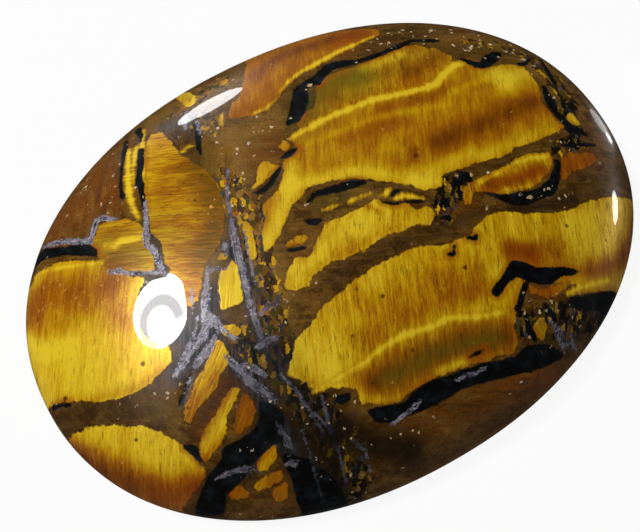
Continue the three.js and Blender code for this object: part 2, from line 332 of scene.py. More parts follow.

# Grey hematite veins, as (x, y, width) along each.
# Their grey is partly the hematite's own, partly its metallic sheen painted in.
GREY_VEINS = [
    [(-15.8, 8.7, 0.3), (-14.9, 8.0, 0.35), (-14.2, 7.5, 0.4), (-13.6, 7.0, 0.4), (-13.1, 6.6, 0.42),
     (-12.7, 7.1, 0.4), (-12.3, 7.6, 0.4), (-11.9, 7.6, 0.4), (-11.5, 7.2, 0.35), (-11.1, 6.85, 0.2)],
    [(-9.2, 6.9, 0.2), (-9.5, 6.2, 0.3), (-9.8, 5.5, 0.35), (-10.1, 4.9, 0.45), (-10.3, 4.2, 0.4),
     (-10.1, 3.6, 0.4), (-10.2, 3.0, 0.4), (-10.3, 2.4, 0.3), (-10.1, 1.8, 0.4), (-9.95, 1.1, 0.3)],
    [(-12.9, 4.0, 0.3), (-12.5, 3.8, 0.35), (-12.1, 3.4, 0.25), (-11.6, 3.0, 0.25), (-11.0, 2.7, 0.2),
     (-10.5, 2.3, 0.3)],
    [(-12.4, -3.5, 0.2), (-11.6, -3.1, 0.3), (-10.9, -2.7, 0.4), (-10.2, -2.4, 0.45), (-9.6, -2.0, 0.5),
     (-9.0, -1.7, 0.5)],
    [(-9.6, -1.7, 0.3), (-9.2, -0.8, 0.3), (-8.6, 0.0, 0.35), (-8.1, 0.7, 0.3), (-7.9, 1.1, 0.2)],
    [(-10.0, -2.6, 0.2), (-9.3, -1.6, 0.3), (-8.9, -0.8, 0.2), (-8.5, -0.3, 0.1)],
    [(-8.1, 0.9, 0.25), (-7.5, 0.75, 0.3), (-7.0, 0.5, 0.15)],
    [(-9.0, -1.8, 0.5), (-8.9, -2.6, 0.35), (-8.6, -3.2, 0.25), (-8.3, -3.6, 0.15)],
    [(-12.2, -3.2, 0.1), (-11.3, -2.6, 0.12), (-10.4, -2.0, 0.15), (-9.7, -1.2, 0.15)],
    [(-4.0, 6.1, 0.25), (-4.4, 5.3, 0.2), (-4.9, 4.4, 0.25), (-5.2, 3.4, 0.25), (-5.6, 2.3, 0.4),
     (-5.9, 1.3, 0.45),
     (-6.2, 0.3, 0.45), (-6.4, -0.6, 0.5), (-6.7, -1.6, 0.4), (-6.9, -2.6, 0.4), (-7.1, -3.6, 0.35),
     (-7.2, -4.6, 0.2)],
    [(-5.0, 1.9, 0.12), (-5.4, 0.9, 0.15), (-5.7, -0.2, 0.15), (-6.0, -1.2, 0.12)],
    [(-6.4, 1.8, 0.35), (-6.6, 1.5, 0.3), (-6.7, 1.2, 0.1)],
    [(-4.2, 11.6, 0.3), (-4.6, 11.0, 0.4), (-4.8, 10.4, 0.2)],
    [(-4.0, 10.4, 0.3), (-4.3, 9.4, 0.15)],
    [(-9.4, -4.0, 0.25), (-9.1, -5.0, 0.5), (-8.9, -5.9, 0.55), (-8.5, -6.7, 0.5), (-8.2, -7.5, 0.3)],
    [(-13.1, -9.4, 0.12), (-12.0, -9.55, 0.25), (-11.4, -9.8, 0.35), (-10.9, -10.0, 0.2)],
    [(-9.3, -10.7, 0.15), (-8.9, -10.9, 0.3), (-8.6, -10.95, 0.15)],
    [(-8.6, -9.0, 0.35), (-8.5, -9.6, 0.3), (-8.6, -10.2, 0.15)],
    [(8.3, -10.9, 0.15), (8.6, -11.6, 0.25), (8.4, -12.2, 0.3), (9.2, -12.7, 0.2)],
    [(-6.6, -2.9, 0.2), (-5.9, -2.7, 0.4), (-5.5, -2.8, 0.25)],
    [(-7.6, -4.5, 0.3), (-7.0, -4.4, 0.45), (-6.4, -4.5, 0.3)],
    [(-11.2, -3.6, 0.15), (-10.4, -3.2, 0.3), (-9.7, -2.9, 0.25)],
    [(-9.9, -0.9, 0.12), (-9.5, 0.0, 0.18), (-9.2, 0.7, 0.12)],
    [(-9.2, -2.6, 0.12), (-10.2, -3.0, 0.16), (-11.4, -3.5, 0.12)],
    [(-9.7, -3.1, 0.12), (-10.6, -3.5, 0.16), (-11.5, -3.9, 0.14), (-12.4, -4.5, 0.1)],
    [(-8.7, -2.3, 0.12), (-9.3, -2.7, 0.16), (-10.2, -3.5, 0.1)],
    [(-8.9, -4.9, 0.3), (-8.4, -5.3, 0.4), (-8.0, -6.0, 0.25)],
    [(-8.7, -8.6, 0.14), (-8.7, -9.6, 0.2), (-8.9, -10.6, 0.14)],
    [(8.3, -11.0, 0.1), (8.3, -11.8, 0.18), (8.4, -12.8, 0.12)],
    [(9.2, -12.1, 0.12), (9.3, -12.9, 0.14)],
    [(-7.2, -6.4, 0.14), (-6.8, -7.9, 0.18), (-6.8, -9.0, 0.14), (-6.6, -10.3, 0.1)],
    [(-5.7, -8.5, 0.1), (-6.1, -9.8, 0.16), (-6.3, -11.4, 0.16), (-6.7, -13.0, 0.12)],
    [(-7.6, -9.6, 0.12), (-7.9, -11.2, 0.16), (-8.3, -13.2, 0.12)],
    [(-3.0, -11.7, 0.1), (-1.8, -11.55, 0.22), (-0.9, -11.4, 0.12)],
    [(1.4, -11.3, 0.1), (2.6, -11.5, 0.2), (3.4, -11.5, 0.1)],
    [(-5.4, -11.4, 0.12), (-5.0, -12.2, 0.16), (-5.2, -13.2, 0.1)],
    [(-6.9, -8.4, 0.14), (-6.4, -9.6, 0.18), (-6.2, -10.8, 0.12)],
]

# Red-brown pits in the polish, as (x, y, width).
PITS = [
    (0.0, -5.35, 0.28), (-2.65, -6.5, 0.2), (5.1, -6.1, 0.3), (12.15, -6.55, 0.26), (0.0, -8.8, 0.24),
    (-2.9, -9.3, 0.2),
    (-1.1, -4.3, 0.2), (-16.0, -5.3, 0.24), (-18.6, -0.9, 0.3), (-13.7, -1.9, 0.3), (-6.6, 5.3, 0.22),
    (-5.5, 6.6, 0.2),
    (6.2, 1.3, 0.3), (9.3, 2.2, 0.16), (3.1, 3.3, 0.14), (-12.6, -5.4, 0.2), (14.2, -8.2, 0.18),
    (7.4, 4.0, 0.14),
]

# Pale chips of quartz, as (x, y, length). Each lies at another angle.
PALE_CHIPS = [
    (3.2, 9.0, 0.5), (12.6, 9.6, 0.45), (13.0, 7.6, 0.4), (13.9, 6.9, 0.5), (15.4, 6.8, 0.45),
    (8.9, 9.9, 0.35),
    (9.4, 9.7, 0.4), (7.1, 10.3, 0.3), (11.0, 10.5, 0.35), (16.7, 4.8, 0.5), (15.0, -1.7, 0.35),
    (8.5, -1.3, 0.35),
    (8.2, -3.6, 0.4), (11.0, -4.1, 0.5), (12.4, -4.1, 0.4), (13.1, -4.9, 0.35), (-3.3, 5.4, 0.35),
    (-2.2, 6.1, 0.3),
    (-6.0, 4.4, 0.4), (-1.2, 7.5, 0.35), (0.6, 1.0, 0.2), (-0.6, 7.2, 0.25), (-5.6, 4.7, 0.25),
    (7.0, -9.9, 0.45),
    (7.9, -10.2, 0.4), (7.4, -10.7, 0.35), (8.3, -10.8, 0.3), (9.0, -10.6, 0.35), (14.2, 8.1, 0.3),
    (16.0, 5.8, 0.3),
    (-6.0, -11.5, 0.3), (-4.5, -12.1, 0.25), (-3.4, -12.3, 0.3), (-2.8, -12.4, 0.25), (-2.1, -12.5, 0.25),
    (-2.4, -13.2, 0.2),
    (-6.5, -12.6, 0.2), (-6.3, -12.9, 0.25), (-5.2, -9.7, 0.3), (-5.7, -9.1, 0.25), (-4.3, -9.7, 0.3),
    (-8.6, -5.2, 0.3),
    (6.6, -11.2, 0.3), (-13.2, -4.1, 0.3), (-13.9, -3.7, 0.25), (-12.4, -4.6, 0.25), (-4.9, -3.0, 0.25),
]

# Soft brushes: (amount, reach in mm, path). Each fades away from its path as a bell curve.
# The tone brushes brighten and darken the seams: partly their own colour, partly their silky sheen painted
# in.
TONE_BRUSHES = [
    (0.34, 0.55, [(-4.4, 0.6), (-2.8, 1.7), (-1.0, 3.0), (0.6, 2.6), (2.0, 2.3), (3.2, 1.6), (4.5, 0.6),
        (5.4, -0.3), (6.3, -0.7)]),
    (0.3, 0.5, [(-1.6, 3.3), (-0.6, 4.2)]),
    (0.2, 0.5, [(6.5, 0.0), (9.0, 0.0), (10.0, -0.5), (12.0, -0.6), (14.8, -0.7)]),
    (-0.36, 0.85, [(7.8, 1.5), (10.0, 1.4), (12.0, 1.3), (15.0, 1.6)]),
    (-0.14, 0.5, [(3.0, 4.3), (5.0, 4.1), (7.0, 3.6)]),
    (-0.16, 0.35, [(6.0, 5.2), (8.0, 4.7), (9.5, 4.5), (11.0, 4.8)]),
    (0.12, 0.25, [(1.0, 5.1), (3.0, 5.0), (5.0, 4.8), (6.0, 4.6), (8.0, 4.0), (10.0, 3.5)]),
    (0.12, 0.25, [(10.8, 4.2), (13.3, 4.25)]),
    (0.38, 0.9, [(14.2, 4.3), (14.3, 3.5), (15.8, 3.7)]),
    (-0.3, 0.3, [(6.0, 1.1), (6.35, 1.6)]),
    (0.2, 1.2, [(-5.6, -5.8), (-4.8, -6.8), (-4.7, -7.6)]),
    (-0.22, 0.8, [(-2.0, -7.1), (1.0, -6.9), (3.5, -7.2), (5.0, -7.6)]),
    (-0.18, 0.9, [(-1.0, -5.6), (3.0, -5.8), (5.5, -6.3)]),
    (-0.6, 1.0, [(-2.9, -9.4), (0.0, -9.4), (3.0, -9.8), (5.3, -10.6)]),
    (0.3, 0.35, [(0.9, -10.5), (2.4, -10.6)]),
    (0.3, 0.4, [(-3.6, -9.7), (-3.0, -10.2)]),
    (-0.5, 0.6, [(8.2, -6.4), (9.0, -7.0)]),
    (-0.2, 0.8, [(9.5, -7.4), (11.0, -7.5)]),
    (0.14, 1.0, [(12.5, -6.8), (14.5, -7.2), (13.6, -8.8)]),
    (-0.45, 0.6, [(12.3, -9.4), (14.5, -9.6), (16.4, -8.8), (18.0, -7.6)]),
    (0.16, 0.7, [(-3.8, -1.8), (-1.0, -0.9), (1.0, -0.8), (2.5, -0.8)]),
    (-0.12, 0.35, [(-3.0, -2.2), (0.0, -2.05), (2.5, -2.0)]),
    (-0.3, 0.2, [(2.0, -0.2), (2.4, -0.9)]),
    (-0.42, 1.7, [(-18.3, 5.4), (-16.0, 4.9), (-14.3, 3.7)]),
    (-0.12, 0.9, [(-17.8, 3.2), (-15.6, 3.0)]),
    (0.25, 0.5, [(-19.3, 4.0), (-18.5, 2.3), (-17.2, 1.6)]),
    (-0.2, 0.35, [(-19.0, -0.8), (-17.0, -2.1), (-14.5, -2.9), (-12.6, -2.9)]),
    (-0.7, 1.0, [(-20.0, -3.6), (-18.6, -5.4), (-17.2, -7.3), (-15.6, -8.9), (-14.2, -9.4)]),
    (-0.35, 0.4, [(9.0, -2.4), (11.0, -2.8), (12.8, -2.8)]),
    (-0.25, 0.6, [(0.6, 11.8), (3.0, 12.6), (6.0, 12.2), (8.5, 11.6)]),
    (-0.12, 0.6, [(-1.8, 9.6), (-0.6, 9.5)]),
    (0.35, 0.4, [(6.9, 8.3), (8.0, 8.4), (9.4, 8.3)]),
    (0.15, 0.5, [(4.6, 7.5), (7.0, 7.0)]),
    (-0.3, 0.8, [(1.6, 7.2), (3.0, 7.9), (5.0, 8.4)]),
    (-0.2, 0.6, [(9.0, 6.6), (11.5, 7.2)]),
    (-0.25, 0.5, [(-10.4, -4.6), (-12.8, -5.9)]),
    (-0.25, 0.35, [(-11.6, -7.9), (-13.0, -8.3)]),
    (-0.34, 0.9, [(-5.4, 7.6), (-5.4, 5.2), (-6.2, 3.2), (-7.4, 1.9)]),
    (-0.1, 0.8, [(-7.8, 3.0), (-9.2, 0.6)]),
    (0.12, 0.5, [(-7.3, 10.6), (-8.5, 8.0), (-9.3, 6.0)]),
    (-0.3, 0.9, [(-12.4, 4.2), (-13.2, 2.4), (-13.6, 0.8)]),
]
OLIVE_BRUSHES = [
    (1.4, 1.3, [(1.4, 7.0), (2.6, 7.7), (4.0, 8.2), (6.0, 8.2)]),
    (0.6, 1.0, [(6.0, 7.4), (9.0, 7.9), (11.3, 7.6)]),
    (0.8, 1.1, [(-5.4, 7.2), (-6.0, 3.4), (-7.6, 1.4)]),
    (0.8, 0.5, [(7.5, -10.6), (7.4, -11.4)]),
    (0.9, 0.5, [(-0.6, 1.4), (0.6, 1.2), (1.9, 0.95)]),
    (1.1, 1.2, [(-12.4, 5.6), (-11.0, 4.0)]),
    (0.4, 1.0, [(-9.4, 5.6), (-8.4, 2.6)]),
    (0.9, 0.8, [(-2.0, -9.6), (1.0, -9.5), (4.5, -10.3)]),
    (0.6, 0.9, [(-6.0, -4.2), (-6.6, -7.5), (-6.0, -10.0)]),
    (0.5, 0.6, [(14.0, 4.9), (15.6, 4.8)]),
    (0.6, 0.5, [(16.7, 0.4), (17.2, 2.3)]),
    (0.4, 1.0, [(10.5, 10.6), (12.5, 9.2)]),
    (0.5, 0.4, [(-3.4, 13.0), (-5.6, 12.6)]),
]
RUST_BRUSHES = [
    (0.9, 1.9, [(-14.5, 9.6), (-12.5, 9.3), (-11.2, 9.0), (-10.8, 11.0)]),
    (0.9, 0.8, [(6.6, 11.3), (8.6, 11.5)]),
    (0.6, 0.9, [(-1.5, -12.6), (3.0, -13.0), (7.0, -13.2)]),
    (0.7, 0.4, [(6.2, 10.2), (7.2, 10.1)]),
    (0.8, 0.6, [(8.3, -6.5), (9.2, -7.2)]),
    (0.5, 0.5, [(9.3, -7.6), (11.3, -8.4)]),
    (0.8, 0.5, [(8.4, -9.1), (9.4, -9.6)]),
    (0.8, 0.6, [(14.6, -3.2), (16.2, -3.3)]),
    (0.8, 0.4, [(9.6, -2.5), (12.6, -2.9)]),
    (1.2, 0.6, [(-10.0, -5.5), (-11.0, -5.9), (-12.6, -6.9)]),
    (0.6, 0.9, [(13.2, 8.8), (14.8, 8.4)]),
    (0.5, 0.4, [(-2.9, -1.2), (-1.4, -0.3)]),
    (0.6, 0.5, [(5.2, -2.6), (7.4, -3.0)]),
    (0.5, 0.8, [(-5.0, 3.5), (-4.0, 2.0)]),
    (0.7, 1.2, [(-0.6, 7.0), (-1.6, 5.8), (-3.2, 6.6)]),
    (0.4, 0.9, [(-17.5, 4.6), (-17.0, 3.0)]),
    (0.6, 0.8, [(-16.4, -8.2), (-14.6, -9.2)]),
    (0.7, 0.5, [(4.0, -12.9), (7.0, -13.4)]),
]
DARK_BRUSHES = [
    (0.9, 1.3, [(-14.0, -10.2), (-11.5, -9.4), (-9.4, -9.0), (-8.4, -10.5), (-8.2, -13.0)]),
    (0.7, 0.9, [(-8.7, -5.0), (-8.7, -8.5)]),
    (0.2, 1.5, [(-6.0, -12.4), (0.0, -13.6), (6.0, -13.6), (10.0, -12.6)]),
    (0.55, 1.1, [(6.6, -11.6), (9.0, -11.6), (12.0, -11.4), (14.0, -11.0)]),
    (1.0, 1.4, [(-6.4, -7.8), (-6.6, -10.5), (-7.2, -13.5)]),
    (0.9, 1.0, [(-5.6, -10.8), (-4.2, -12.2), (-2.6, -13.4)]),
    (0.6, 0.6, [(-7.4, -3.6), (-6.8, -5.4)]),
    (0.55, 0.6, [(-2.0, -3.0), (2.0, -3.0), (5.0, -3.4), (7.6, -3.6)]),
    (0.8, 0.6, [(9.4, -4.4), (11.6, -4.9), (13.4, -5.3)]),
    (0.35, 0.8, [(14.4, -4.6), (17.5, -4.9)]),
    (0.5, 0.9, [(-20.0, -1.4), (-18.0, -2.5), (-16.0, -3.4), (-14.6, -4.6)]),
    (0.35, 0.6, [(3.2, 0.8), (4.6, -0.4), (5.6, -1.4)]),
    (0.3, 0.6, [(9.0, -1.2), (12.0, -1.3), (14.6, -1.4)]),
    (0.4, 0.8, [(8.0, 9.6), (11.0, 9.8), (14.2, 9.2)]),
    (0.4, 0.9, [(13.0, 7.2), (16.0, 5.4)]),
    (0.45, 0.7, [(-5.6, 11.8), (-5.0, 9.8)]),
    (0.5, 0.6, [(-13.2, -6.9), (-12.0, -6.2), (-10.0, -5.4)]),
    (0.45, 0.9, [(-6.6, -4.0), (-7.0, -6.5)]),
]
FLECK_BRUSHES = [
    (0.8, 1.3, [(8.6, 10.0), (12.6, 9.6), (13.4, 7.2), (15.4, 6.8), (16.8, 4.6)]),
    (0.9, 1.1, [(-15.0, -3.6), (-13.0, -4.2)]),
    (1.8, 1.5, [(-17.2, 4.6), (-15.0, 3.6), (-13.5, 2.4)]),
    (2.4, 0.9, [(-13.2, 3.2), (-13.6, 1.6)]),
    (0.7, 0.9, [(2.6, 3.4), (6.8, 3.2)]),
    (0.6, 1.6, [(-13.5, 8.7), (-10.6, 9.6)]),
    (0.9, 0.8, [(6.6, -10.4), (8.2, -9.8), (9.6, -10.4)]),
    (0.8, 0.6, [(-2.6, 6.9), (-0.3, 7.7)]),
    (0.8, 0.9, [(-6.4, 4.6), (-3.4, 5.4)]),
    (0.4, 0.7, [(-8.4, -8.8), (-6.8, -9.2), (-6.4, -10.4)]),
    (0.9, 0.6, [(10.8, -4.0), (12.6, -4.2), (13.2, -4.8)]),
    (0.6, 1.0, [(-8.6, 0.4), (-8.2, 3.0)]),
    (0.5, 0.9, [(-4.8, -3.6), (-5.6, -5.2)]),
]
SMOKE_BRUSHES = [
    (1.0, 0.75, [(-12.2, -3.4), (-11.0, -2.9), (-9.6, -2.2), (-9.0, -1.2), (-8.5, -0.2)]),
    (0.9, 0.6, [(-9.6, -3.0), (-9.2, -4.2), (-8.9, -5.6), (-8.5, -7.2)]),
    (0.9, 1.0, [(-11.6, 1.6), (-11.2, 0.2), (-11.0, -1.2)]),
    (0.5, 0.4, [(-9.9, 5.0), (-10.2, 3.4), (-10.1, 1.8)]),
    (0.7, 0.5, [(-5.4, 3.0), (-6.2, 0.6), (-6.8, -1.8), (-7.2, -4.4)]),
    (0.6, 0.5, [(-7.2, -4.4), (-7.0, -6.4)]),
    (0.7, 0.4, [(-6.4, 1.7), (-5.9, -2.7)]),
    (0.5, 0.5, [(-5.9, 11.3), (-4.6, 11.0), (-4.3, 9.6)]),
    (0.5, 0.6, [(-8.6, -9.0), (-8.9, -11.0)]),
    (0.3, 0.6, [(8.4, -11.2), (9.2, -12.6)]),
    (0.5, 0.5, [(-11.6, -9.6), (-10.9, -10.0)]),
]
TAN_BRUSHES = [
    (0.9, 1.3, [(-2.8, 8.4), (-3.8, 6.4), (-4.6, 4.6), (-5.0, 2.4), (-4.4, 0.8), (-5.0, -1.6)]),
    (0.8, 0.9, [(-7.0, 3.2), (-7.8, 1.0), (-8.6, 0.2)]),
    (0.6, 0.9, [(-1.2, 7.6), (0.2, 8.0)]),
    (0.6, 0.8, [(-6.2, 12.6), (-3.6, 12.4), (-0.6, 12.6)]),
    (0.5, 1.2, [(13.2, 8.6), (16.2, 6.0), (17.6, 3.0)]),
    (0.4, 0.7, [(-14.6, -4.2), (-12.4, -5.4)]),
    (0.5, 0.5, [(1.6, 0.5), (3.4, -0.1), (-2.4, -0.6)]),
    (0.7, 1.0, [(-5.6, -2.5), (-6.2, -3.5)]),
]
RUBBLE_BRUSHES = [
    (1.0, 1.1, [(-6.2, -3.4), (-6.8, -6.0), (-6.6, -8.6), (-6.0, -11.2), (-6.4, -13.2)]),
    (0.7, 0.9, [(-4.4, 5.6), (-4.8, 3.0), (-4.9, 0.6)]),
    (0.8, 0.9, [(-8.0, -3.6), (-8.2, -5.4)]),
    (1.0, 0.9, [(6.6, -10.4), (8.6, -10.9), (10.8, -11.3)]),
    (0.8, 0.7, [(16.6, -0.6), (16.0, -2.1), (14.6, -2.2)]),
    (0.9, 0.9, [(5.8, -2.4), (7.4, -1.4)]),
    (0.8, 0.9, [(-4.6, 1.6), (-5.6, -1.8)]),
    (0.8, 0.8, [(9.0, -11.6), (12.0, -11.6)]),
    (0.6, 1.0, [(-3.2, 9.6), (-4.6, 12.0), (-1.4, 12.6)]),
    (0.5, 0.8, [(14.4, 7.4), (16.8, 5.4)]),
    (0.9, 0.7, [(17.6, 4.4), (17.6, 2.6), (17.4, 0.6)]),
    (0.5, 0.7, [(-4.3, 1.4), (-3.6, 3.4)]),
]


# ---------------------------------------------------------------------------------------------------------
# Small helpers.
# ---------------------------------------------------------------------------------------------------------
def linear(code):
    """An sRGB hex colour such as "#a8700f" as the linear colour that Blender works in, with alpha 1."""
    shares = [int(code[i:i + 2], 16) / 255 for i in (1, 3, 5)]
    return tuple(s / 12.92 if s <= 0.04045 else ((s + 0.055) / 1.055) ** 2.4 for s in shares) + (1.0,)


def socket(sockets, key):
    """The socket with that number, identifier or name."""
    if isinstance(key, int):
        return sockets[key]
    for candidate in sockets:
        if candidate.identifier == key:
            return candidate
    return sockets[key]


def add(tree, kind, inputs=None, out=0, **settings):
    """Adds a shader node with its settings. Its inputs are values, or sockets to link.

    Returns one output, or the node itself if it has none.
    """
    made = tree.nodes.new("ShaderNode" + kind)
    for name, value in settings.items():
        setattr(made, name, value)
    for key, value in (inputs or {}).items():
        target = socket(made.inputs, key)
        if isinstance(value, bpy.types.NodeSocket):
            tree.links.new(value, target)
        else:
            target.default_value = value
    return socket(made.outputs, out) if made.outputs else made


def fill_ramp(output, stops, interpolation="LINEAR"):
    """Gives the colour ramp behind an output its stops, as (position, colour) pairs. Returns the output."""
    ramp = output.node.color_ramp
    ramp.interpolation = interpolation
    while len(ramp.elements) < len(stops):
        ramp.elements.new(1.0)
    for element, (position, colour) in zip(ramp.elements, stops):
        element.position = position
        element.color = colour
    return output


def deselect_all():
    for obj in bpy.context.selected_objects:
        obj.select_set(False)


# ---------------------------------------------------------------------------------------------------------
# The cut stone.
# ---------------------------------------------------------------------------------------------------------
def read_points(mesh):
    points = np.zeros(len(mesh.vertices) * 3)
    mesh.vertices.foreach_get("co", points)
    return points.reshape(-1, 3)


def write_points(mesh, points):
    mesh.vertices.foreach_set("co", points.reshape(-1))
    mesh.update()


def outline_reach(angle):
    """The outline's distance from the middle in the direction of an angle, as a share of the half sizes."""
    along = np.abs(np.cos(angle)) ** OUTLINE_POWER
    across = np.abs(np.sin(angle)) ** OUTLINE_POWER
    return (along + across) ** (-1 / OUTLINE_POWER)


def dome_height(share, sizes):
    """The dome's height where share is 0 at the middle and 1 at the outline."""
    rise = sizes.thickness - sizes.girdle_height
    return sizes.girdle_height + rise * np.sqrt(np.clip(1 - share ** DOME_POWER, 0, 1))


def even_shares(steps, sizes):
    """Turns even steps from 0 to 1 along the dome's surface into shares of the outline."""
    share = np.sin(np.linspace(0, math.pi / 2, PROFILE_STEPS))
    half = (sizes.length + sizes.width) / 4
    run = np.hypot(np.diff(share * half), np.diff(dome_height(share, sizes)))
    travelled = np.concatenate([[0], np.cumsum(run)])
    return np.interp(steps * travelled[-1], travelled, share)


def disc_from_square(points):
    """Rounds a grid from -1 to 1 into a disc. Returns each point's distance from the middle and its angle."""
    x, y = points[:, 0], points[:, 1]
    u = x * np.sqrt(1 - y * y / 2)
    v = y * np.sqrt(1 - x * x / 2)
    return np.hypot(u, v), np.arctan2(v, u)


def oval_points(share, angle, height, sizes):
    """Points on the stone from shares of the outline, angles and heights."""
    reach = outline_reach(angle)
    x = share * reach * np.cos(angle) * sizes.length / 2
    y = share * reach * np.sin(angle) * sizes.width / 2
    return np.stack([x, y, np.broadcast_to(height, x.shape)], axis=1)


def add_grid(cells, name):
    """A flat grid from -1 to 1, which the caller rounds into an oval."""
    deselect_all()
    bpy.ops.mesh.primitive_grid_add(x_subdivisions=cells[0], y_subdivisions=cells[1], size=2)
    grid = bpy.context.object
    grid.name = name
    grid.data.name = name
    return grid


def model_dome(sizes):
    dome = add_grid(DOME_CELLS, "tigers_eye_stone")
    steps, angle = disc_from_square(read_points(dome.data))
    share = even_shares(np.clip(steps, 0, 1), sizes)
    write_points(dome.data, oval_points(share, angle, dome_height(share, sizes), sizes))
    return dome


def model_back(sizes):
    back = add_grid(BACK_CELLS, "ground_back")
    steps, angle = disc_from_square(read_points(back.data))
    bevel_share = 1 - sizes.back_bevel / (sizes.width / 2)
    write_points(back.data, oval_points(steps * bevel_share, angle, 0.0, sizes))
    return back


def model_stone(sizes):
    """The dome is extruded down into the wall, and the chamfer bridges the wall to the ground back."""
    dome = model_dome(sizes)
    bpy.ops.object.mode_set(mode="EDIT")
    bpy.ops.mesh.select_mode(type="EDGE")
    bpy.ops.mesh.select_all(action="DESELECT")
    bpy.ops.mesh.select_non_manifold()
    drop = (sizes.girdle_height - sizes.back_bevel) / WALL_ROWS
    for _row in range(WALL_ROWS):
        bpy.ops.mesh.extrude_edges_move(TRANSFORM_OT_translate={"value": (0, 0, -drop)})
    bpy.ops.object.mode_set(mode="OBJECT")
    back = model_back(sizes)
    deselect_all()
    back.select_set(True)
    dome.select_set(True)
    bpy.context.view_layer.objects.active = dome
    bpy.ops.object.join()
    bpy.ops.object.mode_set(mode="EDIT")
    bpy.ops.mesh.select_all(action="DESELECT")
    bpy.ops.mesh.select_non_manifold()
    bpy.ops.mesh.bridge_edge_loops()
    bpy.ops.mesh.select_all(action="SELECT")
    bpy.ops.mesh.normals_make_consistent(inside=False)
    bpy.ops.object.mode_set(mode="OBJECT")
    bpy.ops.object.shade_smooth_by_angle(angle=CRISP_EDGE)
    return dome


# ---------------------------------------------------------------------------------------------------------
# The markings' distances and weights at each point of the mesh.
# ---------------------------------------------------------------------------------------------------------
def near(plan, path, margin):
    """Which points lie within a margin of the path's own box."""
    corners = np.array(path)[:, :2]
    low = corners.min(axis=0) - margin
    high = corners.max(axis=0) + margin
    return np.all((plan > low) & (plan < high), axis=1)


def along_path(plan, path):
    """For each point, its distance from the path, and how many segments along the nearest place lies."""
    best = np.full(len(plan), np.inf)
    place = np.zeros(len(plan))
    for i in range(len(path) - 1):
        start = np.array(path[i][:2])
        step = np.array(path[i + 1][:2]) - start
        share = np.clip(((plan - start) @ step) / (step @ step), 0, 1)
        distance = np.hypot(*(plan - start - share[:, None] * step).T)
        closer = distance < best
        best[closer] = distance[closer]
        place[closer] = i + share[closer]
    return best, place


def inside(plan, outline):
    """Which points lie inside a closed outline, by how often a ray to the right crosses it."""
    crossed = np.zeros(len(plan), bool)
    x, y = plan.T
    for (ax, ay), (bx, by) in zip(outline, outline[1:] + outline[:1]):
        if ay != by:
            spans = (ay > y) != (by > y)
            crossed ^= spans & (x < ax + (y - ay) * (bx - ax) / (by - ay))
    return crossed


def softened(outline, passes=2):
    """Cuts the corners of a closed outline in a few passes."""
    points = np.array(outline)
    for _pass in range(passes):
        following = np.roll(points, -1, axis=0)
        near_side = (1 - CORNER_CUT) * points + CORNER_CUT * following
        far_side = CORNER_CUT * points + (1 - CORNER_CUT) * following
        cuts = np.stack([near_side, far_side], axis=1)
        points = cuts.reshape(-1, 2)
    return [tuple(point) for point in points]


def outline_depth(plan, outline):
    """How deep each point lies inside a closed outline in mm, and below 0 outside it."""
    outline = softened(outline)
    depth = np.full(len(plan), -FARTHEST)
    close = near(plan, outline, FARTHEST)
    distance, _place = along_path(plan[close], outline + outline[:1])
    distance = np.minimum(distance, FARTHEST)
    depth[close] = np.where(inside(plan[close], outline), distance, -distance)
    return depth


def streak_depth(plan, streak):
    """How deep each point lies inside a streak of changing width in mm, and below 0 outside it."""
    depth = np.full(len(plan), -FARTHEST)
    close = near(plan, streak, FARTHEST)
    distance, place = along_path(plan[close], streak)
    widths = np.array(streak)[:, 2]
    half = np.interp(place, np.arange(len(streak)), widths) / 2
    depth[close] = np.maximum(half - distance, -FARTHEST)
    return depth


def pit_depth(plan):
    """How deep each point lies inside a round pit in mm, and below 0 outside all of them."""
    depth = np.full(len(plan), -FARTHEST)
    for x, y, width in PITS:
        depth = np.maximum(depth, width / 2 - np.hypot(plan[:, 0] - x, plan[:, 1] - y))
    return depth


def chip_depth(plan):
    """How deep each point lies inside a pale chip in mm, along the chip. Each chip is a diamond."""
    depth = np.full(len(plan), -FARTHEST)
    for number, (x, y, length) in enumerate(PALE_CHIPS):
        turn = CHIP_TURN * number
        dx, dy = plan[:, 0] - x, plan[:, 1] - y
        along = dx * math.cos(turn) + dy * math.sin(turn)
        across = dy * math.cos(turn) - dx * math.sin(turn)
        depth = np.maximum(depth, length / 2 - np.abs(along) - CHIP_SLIMNESS * np.abs(across))
    return depth


def vein_run(plan):
    """For each point, its depth in the deepest vein, its distance along it, and a number for the vein."""
    depth = np.full(len(plan), -FARTHEST)
    run = np.zeros(len(plan))
    which = np.zeros(len(plan))
    for number, vein in enumerate(GREY_VEINS):
        here = streak_depth(plan, vein)
        deeper = here > depth
        _distance, place = along_path(plan[deeper], vein)
        corners = np.array(vein)[:, :2]
        lengths = np.concatenate([[0], np.cumsum(np.hypot(*np.diff(corners, axis=0).T))])
        run[deeper] = np.interp(place, np.arange(len(vein)), lengths)
        depth[deeper] = here[deeper]
        which[deeper] = number
    return depth, run, which


def brushed(plan, brushes):
    """The sum of soft brushes at each point."""
    total = np.zeros(len(plan))
    for amount, reach, path in brushes:
        close = near(plan, path, BRUSH_CUTOFF * reach)
        distance, _place = along_path(plan[close], path)
        total[close] += amount * np.exp(-((distance / reach) ** 2))
    return total


def deepest(depths):
    return np.max(np.stack(depths), axis=0)


def slid_plan(points, sizes):
    """Where each point's bands lie on the dome, because the bands slide sideways as they go down."""
    half = np.array([sizes.length, sizes.width]) / 2 / MM
    share = np.sum(np.abs(points[:, :2] / half) ** OUTLINE_POWER, axis=1) ** (1 / OUTLINE_POWER)
    below = dome_height(np.clip(share, 0, 1), sizes) / MM - points[:, 2]
    return points[:, :2] + np.clip(below, 0, None)[:, None] * np.array(BAND_DIP)


